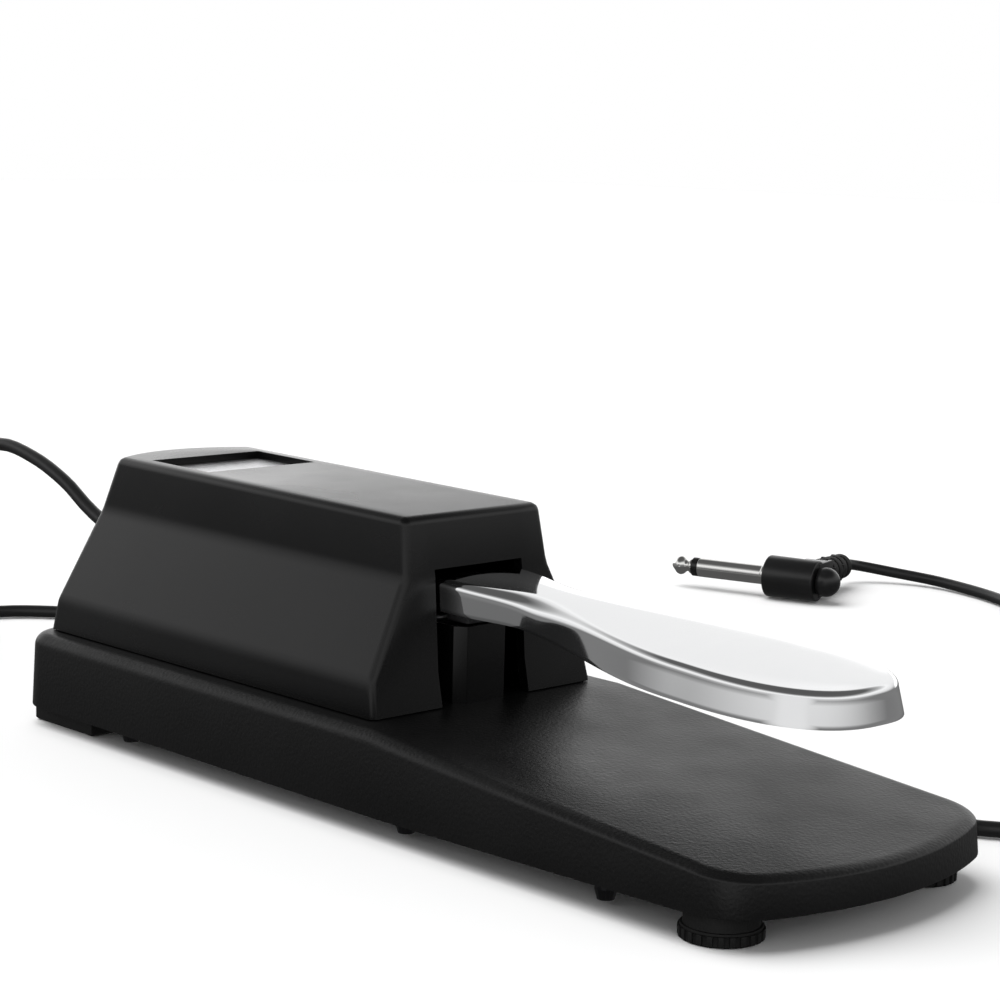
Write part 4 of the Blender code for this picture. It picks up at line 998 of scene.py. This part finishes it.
def makeLever(s):
    columns, noseRows, bodyRows, edge = s["columns"], s["noseRows"], s["bodyRows"], s["edge"]
    rows = noseRows + bodyRows
    deselectAll()
    bpy.ops.mesh.primitive_grid_add(x_subdivisions=columns, y_subdivisions=rows, size=2.0,
                                    location=(0, 0, 0))
    lever = nameNew("lever")
    startEdit(lever)
    noseLength = s["noseCentre"] - s["noseTip"] - edge

    def place(p):
        across, row = p.x, (p.y + 1) / 2 * rows
        if row < noseRows:
            v = 1 - row / noseRows
            x, y = across * math.sqrt(1 - v * v / 2), v * math.sqrt(1 - across * across / 2)
            around, power = math.atan2(y, x), s["nosePower"]
            blunt = (abs(math.cos(around)) ** power + abs(math.sin(around)) ** power) ** (-1 / power)
            x *= blunt * (s["noseHalf"] - edge)
            y = s["noseCentre"] - noseLength * y * blunt
        else:
            y = s["noseCentre"] + (s["rear"] - edge - s["noseCentre"]) * (row - noseRows) / bodyRows
            x = (leverHalf(s, y) - leverEdge(s, y)[0]) * across
        return Vector((x, y, leverSurface(s, x, y)))

    moveVerts(lever, place)

    steps = []
    for k in range(1, 8):
        turn = math.radians(90 * k / 7)
        steps.append((lambda p, a=turn: leverEdge(s, p.y)[0] * math.sin(a),
                      lambda p, a=turn: leverEdge(s, p.y)[1] * (1 - math.cos(a))))

    def flared(share):
        waist, end = s["waist"][0], s["flareEnd"]
        return lambda p: (leverEdge(s, p.y)[0]
                          + share * s["flare"] * smoothStep((waist - p.y) / (waist - end)))

    def lowered(share):
        return lambda p: leverEdge(s, p.y)[1] * (1 - share) + s["skirt"] * share

    steps += [(flared(k / 6), lowered(k / 6)) for k in range(1, 7)]
    growRim(lever, steps)
    bpy.ops.mesh.select_all(action="SELECT")
    bpy.ops.mesh.normals_make_consistent(inside=False)
    endEdit()
    addModifier(lever, "SOLIDIFY", thickness=s["wall"], offset=-1.0)
    softEdges(lever, 0.3 * mm, 2, 60)
    applyModifiers(lever)
    # eyes that turn on the pin
    pivot = (0.0, 45.0 * mm, 45.5 * mm)
    eyes = []
    for side in (-1, 1):
        deselectAll()
        bpy.ops.mesh.primitive_cylinder_add(vertices=48, radius=5.4 * mm, depth=2.0 * mm,
                                            location=(side * 11.6 * mm, pivot[1], pivot[2]),
                                            rotation=(0, math.radians(90), 0))
        eye = nameNew("leverEye")
        applyPlace(eye)
        startEdit(eye)
        pickFaces(eye, lambda f: abs(f.normal.x) > 0.9)
        bpy.ops.mesh.inset(thickness=3.1 * mm)
        bpy.ops.mesh.bridge_edge_loops()
        pickFaces(eye, lambda f: f.normal.z > 0.7 and len(f.verts) == 4 and abs(f.normal.x) < 0.1
                  and f.calc_center_median().z > pivot[2] + 4 * mm)
        extrudeBy(0, 0, 3.0 * mm)
        endEdit()
        softEdges(eye, 0.3 * mm, 2, 50)
        applyModifiers(eye)
        eyes.append(eye)
    joinPieces(lever, eyes)
    smooth(lever, 35)
    finishPiece(lever, looks["chromePlate"], "pedal", ["pedal_lever"])
    print("lever", len(lever.data.polygons))
    return lever


lever = makeLever(leverSet)


# turned shapes: a profile edge spun round an axis

def spinProfile(name, profile, place, steps=48):
    deselectAll()
    bpy.ops.mesh.primitive_plane_add(size=1.0, location=(0, 0, 0))
    obj = nameNew(name)
    startEdit(obj, "VERT")
    bpy.ops.mesh.select_all(action="SELECT")
    bpy.ops.mesh.delete(type="VERT")
    shape = bmesh.from_edit_mesh(obj.data)
    spots = [shape.verts.new((radius, 0, height)) for radius, height in profile]
    for a, b in zip(spots, spots[1:]):
        shape.edges.new((a, b))
    bmesh.update_edit_mesh(obj.data)
    bpy.ops.mesh.select_all(action="SELECT")
    bpy.ops.mesh.spin(steps=steps, angle=2 * math.pi, center=(0, 0, 0), axis=(0, 0, 1))
    bpy.ops.mesh.select_all(action="SELECT")
    bpy.ops.mesh.remove_doubles(threshold=0.002 * mm)
    bpy.ops.mesh.normals_make_consistent(inside=False)
    endEdit()
    obj.data.transform(place)
    return obj


def roundCorner(points, radius, steps=4):  # a profile with its inner points rounded
    made = [points[0]]
    for before, corner, after in zip(points, points[1:], points[2:]):
        c = Vector(corner)
        a, b = Vector(before) - c, Vector(after) - c
        cut = min(radius, a.length * 0.45, b.length * 0.45)
        start, end = c + a.normalized() * cut, c + b.normalized() * cut
        for k in range(steps + 1):
            t = k / steps
            made.append(tuple((1 - t) ** 2 * start + 2 * t * (1 - t) * c + t * t * end))
    return made + [points[-1]]


# toothed rubber feet at the front

footSet = {"x": 30.2 * mm, "y": -106.6 * mm, "stem": 7.4 * mm, "flange": 8.45 * mm, "thick": 2.1 * mm,
           "teeth": 24, "recess": 3.4 * mm}


def makeFoot(name, side, s):
    seat = rimHeight(baseSet, s["y"]) + 0.9 * mm
    x = side * s["x"]
    deselectAll()
    bpy.ops.mesh.primitive_cylinder_add(vertices=s["teeth"] * 4, radius=s["flange"], depth=s["thick"],
                                        location=(x, s["y"], s["thick"] / 2))
    foot = nameNew(name)
    applyPlace(foot)
    startEdit(foot)
    centre = Vector((x, s["y"], 0))

    def isGap(f):
        c = f.calc_center_median() - centre
        k = int((math.atan2(c.y, c.x) % (2 * math.pi)) / (2 * math.pi) * s["teeth"] * 4)
        return abs(f.normal.z) < 0.1 and k % 4 in (0, 1)

    pickFaces(foot, isGap)
    bpy.ops.mesh.extrude_region_shrink_fatten(TRANSFORM_OT_shrink_fatten={"value": -0.55 * mm})
    pickFaces(foot, lambda f: f.normal.z > 0.9 and len(f.verts) > 20)
    bpy.ops.mesh.inset(thickness=s["flange"] - s["stem"] - 0.6 * mm)
    extrudeBy(0, 0, 0.5 * mm)
    bpy.ops.mesh.inset(thickness=0.5 * mm)
    extrudeBy(0, 0, seat - s["thick"] - 0.5 * mm)
    pickFaces(foot, lambda f: f.normal.z < -0.9 and len(f.verts) > 20)
    bpy.ops.mesh.inset(thickness=s["flange"] - s["recess"] - 0.4 * mm)
    extrudeBy(0, 0, 2.6 * mm)
    endEdit()
    softEdges(foot, 0.22 * mm, 2, 40)
    evenNormals(foot)
    applyModifiers(foot)
    smooth(foot, 35)
    finishPiece(foot, looks["softRubber"], "base",
                ["front_foot_left" if side < 0 else "front_foot_right"])


makeFoot("footLeft", -1, footSet)
makeFoot("footRight", 1, footSet)
print("feet")


# strain relief where the cord leaves the housing

glandSet = {"collar": 5.4 * mm, "rings": 6, "start": 3.6 * mm, "hole": 1.75 * mm}


def reliefRings(name, place, start, length, radii, rings, hole, slotShare, core):
    pitch = length / rings
    parts = []
    sleeve = spinProfile(name, [(hole, start), (core[0], start), (core[1], start + length - 0.6 * mm),
                                (core[1] - 0.3 * mm, start + length), (hole, start + length)], Matrix(), 40)
    for k in range(rings):
        radius = radii[0] + (radii[1] - radii[0]) * k / (rings - 1)
        low = start + pitch * k
        inner = core[0] + (core[1] - core[0]) * (k + 0.5) / rings - 0.3 * mm
        high = low + pitch * slotShare
        ring = [(inner, low), (radius, low), (radius - 0.06 * mm, high), (inner, high)]
        parts.append(spinProfile(name + "Ring", roundCorner(ring, 0.35 * mm), Matrix(), 40))
        if k < rings - 1:
            for turn in (0, 180):  # bridges between the rings, a quarter turn apart each time
                angle = math.radians(turn + 90 * (k % 2))
                deselectAll()
                out, height = radius * 0.80, low + pitch * (slotShare + 1) / 2
                spot = (out * math.cos(angle), out * math.sin(angle), height)
                bpy.ops.mesh.primitive_cube_add(size=1.0, location=spot, rotation=(0, 0, angle))
                bridge = nameNew(name + "Bridge")
                bridge.scale = (radius * 0.34, radius * 0.9, pitch * (1 - slotShare) + 0.3 * mm)
                applyPlace(bridge)
                softEdges(bridge, 0.2 * mm, 2)
                applyModifiers(bridge)
                parts.append(bridge)
    joinPieces(sleeve, parts)
    sleeve.data.transform(place)
    smooth(sleeve, 35)
    return sleeve


def makeGland(s):
    start = s["start"]
    relief = reliefRings("gland", glandFrame(), start, cordSet["glandReach"] - start, (4.5 * mm, 3.1 * mm),
                         s["rings"], s["hole"], 0.66, (3.4 * mm, 2.3 * mm))
    collar = spinProfile("glandCollar", roundCorner([
        (s["hole"], -8 * mm), (4.6 * mm, -8 * mm), (5.6 * mm, -6 * mm), (5.6 * mm, -3.4 * mm),
        (3.9 * mm, -3.4 * mm), (3.9 * mm, 0.4 * mm), (s["collar"], 0.4 * mm), (s["collar"], 2.4 * mm),
        (4.2 * mm, 3.6 * mm), (s["hole"], 3.6 * mm),
    ], 0.4 * mm), glandFrame(), 48)
    joinPieces(relief, [collar])
    smooth(relief, 35)
    return finishPiece(relief, looks["softRubber"], "base", ["cable_gland"])


gland = makeGland(glandSet)
print("strain relief", len(gland.data.polygons))


# right-angle jack plug

def makePlug(s):
    place = plugFrame()
    length, radius = s["bodyLength"], s["bodyRadius"]
    # barrel
    barrel = spinProfile("plugBody", roundCorner([
        (0.0, -length), (radius - 0.2 * mm, -length), (radius, -0.2 * mm), (0.0, 0.0),
    ], 0.7 * mm), Matrix(), 56)
    # gusset: starts as a block beside the barrel and narrows towards the relief
    deselectAll()
    reach = s["reliefStart"] - 0.3 * mm
    bpy.ops.mesh.primitive_cube_add(size=1.0, location=(reach / 2, 0, (-3.4 * mm - length + 0.6 * mm) / 2))
    gusset = nameNew("plugGusset")
    gusset.scale = (reach, 10.0 * mm, length - 4.0 * mm)
    applyPlace(gusset)
    startEdit(gusset)

    def lean(p):
        if p.x > reach / 2 and p.z > -length / 2:
            return Vector((p.x, p.y, -s["reliefDrop"] + 5.0 * mm))
        return p

    moveVerts(gusset, lean)
    pickEdges(gusset, lambda e: midPoint(e).z > -length + 2 * mm
              and abs(abs(midPoint(e).y) - 5 * mm) < 0.1 * mm
              and abs(e.verts[0].co.x - e.verts[1].co.x) > 3 * mm)
    bpy.ops.mesh.bevel(offset=1.6 * mm, segments=5, affect="EDGES")
    endEdit()
    softEdges(gusset, 0.35 * mm, 3, 35)
    applyModifiers(gusset)
    # thin rim plate under barrel and gusset
    deselectAll()
    bpy.ops.mesh.primitive_cube_add(size=1.0, location=(5.6 * mm, 0, -length + 0.4 * mm))
    rim = nameNew("plugRim")
    rim.scale = (11.6 * mm, 11.2 * mm, 1.2 * mm)
    applyPlace(rim)
    startEdit(rim, "EDGE")
    pickEdges(rim, lambda e: abs(e.verts[0].co.z - e.verts[1].co.z) > 0.5 * mm and midPoint(e).x > 5 * mm)
    bpy.ops.mesh.bevel(offset=1.4 * mm, segments=5, affect="EDGES")
    endEdit()
    softEdges(rim, 0.25 * mm, 2, 40)
    applyModifiers(rim)
    joinPieces(barrel, [gusset, rim])
    barrel.data.transform(place)
    smooth(barrel, 35)
    finishPiece(barrel, looks["plugBlack"], "base", ["plug_body"])
    # knob
    ball, centre = s["knobRadius"], -length - 2.4 * mm
    top = -length - 0.5 * mm
    start = math.acos((top - centre) / ball)
    profile = [(0.0, top)] + [
        (ball * math.sin(start + (math.pi - start) * k / 20) if k < 20 else 0.0,
         centre + ball * math.cos(start + (math.pi - start) * k / 20)) for k in range(21)
    ]
    knob = spinProfile("plugKnob", profile, place, 48)
    smooth(knob, 40)
    finishPiece(knob, looks["plugBlack"], "base", ["plug_knob"])
    # relief
    side = place @ Matrix.Translation((0, 0, -s["reliefDrop"])) @ Matrix.Rotation(math.radians(90), 4, "Y")
    relief = reliefRings("plugRelief", side, s["reliefStart"], s["reliefLength"], (4.95 * mm, 4.25 * mm), 5,
                         1.75 * mm, 0.74, (3.1 * mm, 2.5 * mm))
    finishPiece(relief, looks["softRubber"], "base", ["plug_relief"])
    # shaft
    shaft, ringLow, ringHigh = s["shaftRadius"], s["shaftLength"] - 9.9 * mm, s["shaftLength"] - 8.1 * mm
    sleeve = spinProfile("plugSleeve", roundCorner([
        (0.0, 0.3 * mm), (shaft + 0.35 * mm, 0.3 * mm), (shaft + 0.35 * mm, 1.5 * mm), (shaft, 1.9 * mm),
        (shaft, ringLow - 0.3 * mm), (0.0, ringLow - 0.3 * mm)], 0.2 * mm, 3), place, 56)
    smooth(sleeve, 40)
    finishPiece(sleeve, looks["jackNickel"], "base", ["plug_sleeve"])
    ring = spinProfile("plugRing", roundCorner([
        (0.0, ringLow - 0.2 * mm), (shaft - 0.05 * mm, ringLow - 0.2 * mm),
        (shaft - 0.05 * mm, ringHigh + 0.2 * mm), (0.0, ringHigh + 0.2 * mm)], 0.15 * mm, 3), place, 56)
    smooth(ring, 40)
    finishPiece(ring, looks["ringBlack"], "base", ["plug_insulator"])
    end = s["shaftLength"]
    profile = [(0.0, ringHigh + 0.3 * mm), (2.5 * mm, ringHigh + 0.3 * mm), (2.5 * mm, end - 7.0 * mm),
               (1.9 * mm, end - 6.5 * mm), (1.72 * mm, end - 5.4 * mm), (2.5 * mm, end - 4.7 * mm),
               (3.0 * mm, end - 4.0 * mm), (3.15 * mm, end - 3.2 * mm), (2.9 * mm, end - 2.4 * mm),
               (0.9 * mm, end - 0.35 * mm), (0.0, end)]
    tip = spinProfile("plugTip", roundCorner(profile, 0.5 * mm), place, 56)
    smooth(tip, 50)
    finishPiece(tip, looks["jackNickel"], "base", ["plug_tip"])
    print("plug")
    return [barrel, knob, relief, sleeve, ring, tip]


plugPieces = makePlug(plugSet)


# return spring: a merged, smoothed copy of the frame's spring

springSet = {"node": "return_spring", "y": 8.6 * mm, "pivotY": 45.0 * mm, "press": 6.5, "slack": 0.3 * mm}


def makeSpring(s):
    deselectAll()
    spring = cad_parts[s["node"]].copy()
    spring.data = spring.data.copy()
    spring.name = spring.data.name = "returnSpring"
    bpy.context.scene.collection.objects.link(spring)
    startEdit(spring)
    bpy.ops.mesh.select_all(action="SELECT")
    bpy.ops.mesh.remove_doubles(threshold=0.00001)
    bpy.ops.mesh.normals_make_consistent(inside=False)
    endEdit()
    smooth(spring, 60)
    finishPiece(spring, looks["zincSteel"], "base", [s["node"]])
    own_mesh(spring)
    print("return spring")


makeSpring(springSet)


# finishes for the parts that keep their frame shape

nodeLooks = {
    "zincSteel": ["pivot_bracket", "pivot_pin", "pin_clip_left", "pin_clip_right",
                  "board_screw_left", "board_screw_right", "foot_screw_left", "foot_screw_right",
                  "cover_screw_1", "cover_screw_2", "cover_screw_3", "cover_screw_4"],
    "blackSteel": ["bottom_plate", "plate_screw_1", "plate_screw_2", "plate_screw_3", "plate_screw_4",
                   "plate_screw_5", "plate_screw_6"],
    "brushedSilver": ["badge_plate"],
    "softRubber": ["rear_pad", "coil_tie"],
    "padFelt": ["down_stop_pad", "rest_stop_pad"],
    "naturalNylon": ["pivot_bush_left", "pivot_bush_right", "spring_seat", "spring_cup", "switch_plunger",
                     "board_spacer_left", "board_spacer_right"],
    "boardLacquer": ["circuit_board"],
    "cordJacket": ["inner_lead"],
    "satinBlack": ["switch_body", "rest_stop_post"],
}

for lookName, nodes in nodeLooks.items():
    for node in nodes:
        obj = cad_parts[node]
        for place in obj.material_slots:
            place.material = looks[lookName]
print("frame parts finished")


# floor and light

def makeFloor(s):
    deselectAll()
    bpy.ops.mesh.primitive_plane_add(size=s["floorSize"], location=(0, 0, -s["floorDrop"]))
    floor = nameNew("floor")
    look, tree, shader = startMaterial("paleFloor", {"Roughness": 0.9, "Specular IOR Level": 0.1})
    clouds = addNode(tree, "TexNoise", (-500, 0), None, {"Scale": 6.0, "Detail": 4.0},
                     {"Vector": objectSpace(tree, (-700, 0))})
    colour = mixColour(tree, (-200, 0), clouds.outputs["Fac"], *s["floorTones"])
    tree.links.new(colour, shader.inputs["Base Color"])
    floor.data.materials.append(look)
    floor.visible_glossy = False


# the surroundings are white to the camera; the finishes see a sky, a bright wall and a softbox
def makeWorld(s):
    world = bpy.data.worlds.new("studio")
    bpy.context.scene.world = world
    world.use_nodes = True
    tree = world.node_tree
    for node in list(tree.nodes):
        tree.nodes.remove(node)
    way = addNode(tree, "TexCoord", (-1200, 0)).outputs["Generated"]
    split = addNode(tree, "SeparateXYZ", (-1000, 150), None, None, {"Vector": way})
    height = split.outputs["Z"]

    def towards(place, heading):
        dot = addNode(tree, "VectorMath", place, {"operation": "DOT_PRODUCT"}, {1: heading}, {0: way})
        return dot.outputs["Value"]

    share = remap(tree, (-750, 200), height, -1.0, 1.0)
    ramp = addNode(tree, "ValToRGB", (-550, 200), None, None, {"Fac": share})
    stops, brightest = ramp.color_ramp.elements, max(value for rise, value in s["sky"])
    stops.remove(stops[1])
    for i, (rise, value) in enumerate(s["sky"]):
        stop = stops[0] if i == 0 else stops.new((rise + 1) / 2)
        stop.position = (rise + 1) / 2
        stop.color = (*[value / brightest] * 3, 1)
    dome = addNode(tree, "Math", (-400, 100), {"operation": "MULTIPLY"}, {1: brightest},
                   {0: ramp.outputs["Color"]}).outputs["Value"]
    ahead = remap(tree, (-750, -250), towards((-1000, -200), s["panelHeading"]), *s["panelFade"], eased=True)
    foot = remap(tree, (-750, -850), height, -0.03, 0.03, eased=True)
    bright = remap(tree, (-750, -500), height, *s["panelFootTop"], s["panelFoot"], s["panel"], True)
    panel = combine(tree, (-600, -450), "MULTIPLY", ahead, foot)
    panel = combine(tree, (-500, -300), "MULTIPLY", panel, bright)
    most = combine(tree, (-300, 0), "MAXIMUM", dome, panel)
    edge, soft = math.cos(math.radians(s["stripWidth"])), s["stripSoft"]
    strip = remap(tree, (-750, -700), towards((-1000, -600), s["stripHeading"]), edge - soft, edge + soft,
                  0.0, s["strip"], True)
    most = combine(tree, (-200, -200), "MAXIMUM", most, strip)
    path = addNode(tree, "LightPath", (-300, 300))
    seen = addNode(tree, "Mix", (-100, 100), {"data_type": "FLOAT"}, {"B": s["background"]},
                   {"Factor": path.outputs["Is Camera Ray"], "A": most})
    light = addNode(tree, "Background", (150, 0), None, {"Color": (1, 1, 1, 1)},
                    {"Strength": seen.outputs["Result"]})
    addNode(tree, "OutputWorld", (350, 0), None, None, {"Surface": light.outputs["Background"]})
    sun = bpy.data.lights.new("overhead", "SUN")
    sun.energy = s["sunPower"]
    sun.angle = math.radians(s["sunSpread"])
    lamp = bpy.data.objects.new("overhead", sun)
    lamp.visible_glossy = False
    lamp.rotation_euler = [math.radians(turn) for turn in s["sunTurn"]]
    bpy.context.scene.collection.objects.link(lamp)


makeFloor(studioSet)
makeWorld(studioSet)
bpy.context.scene.view_settings.view_transform = "Standard"
print("studio set")

deselectAll()
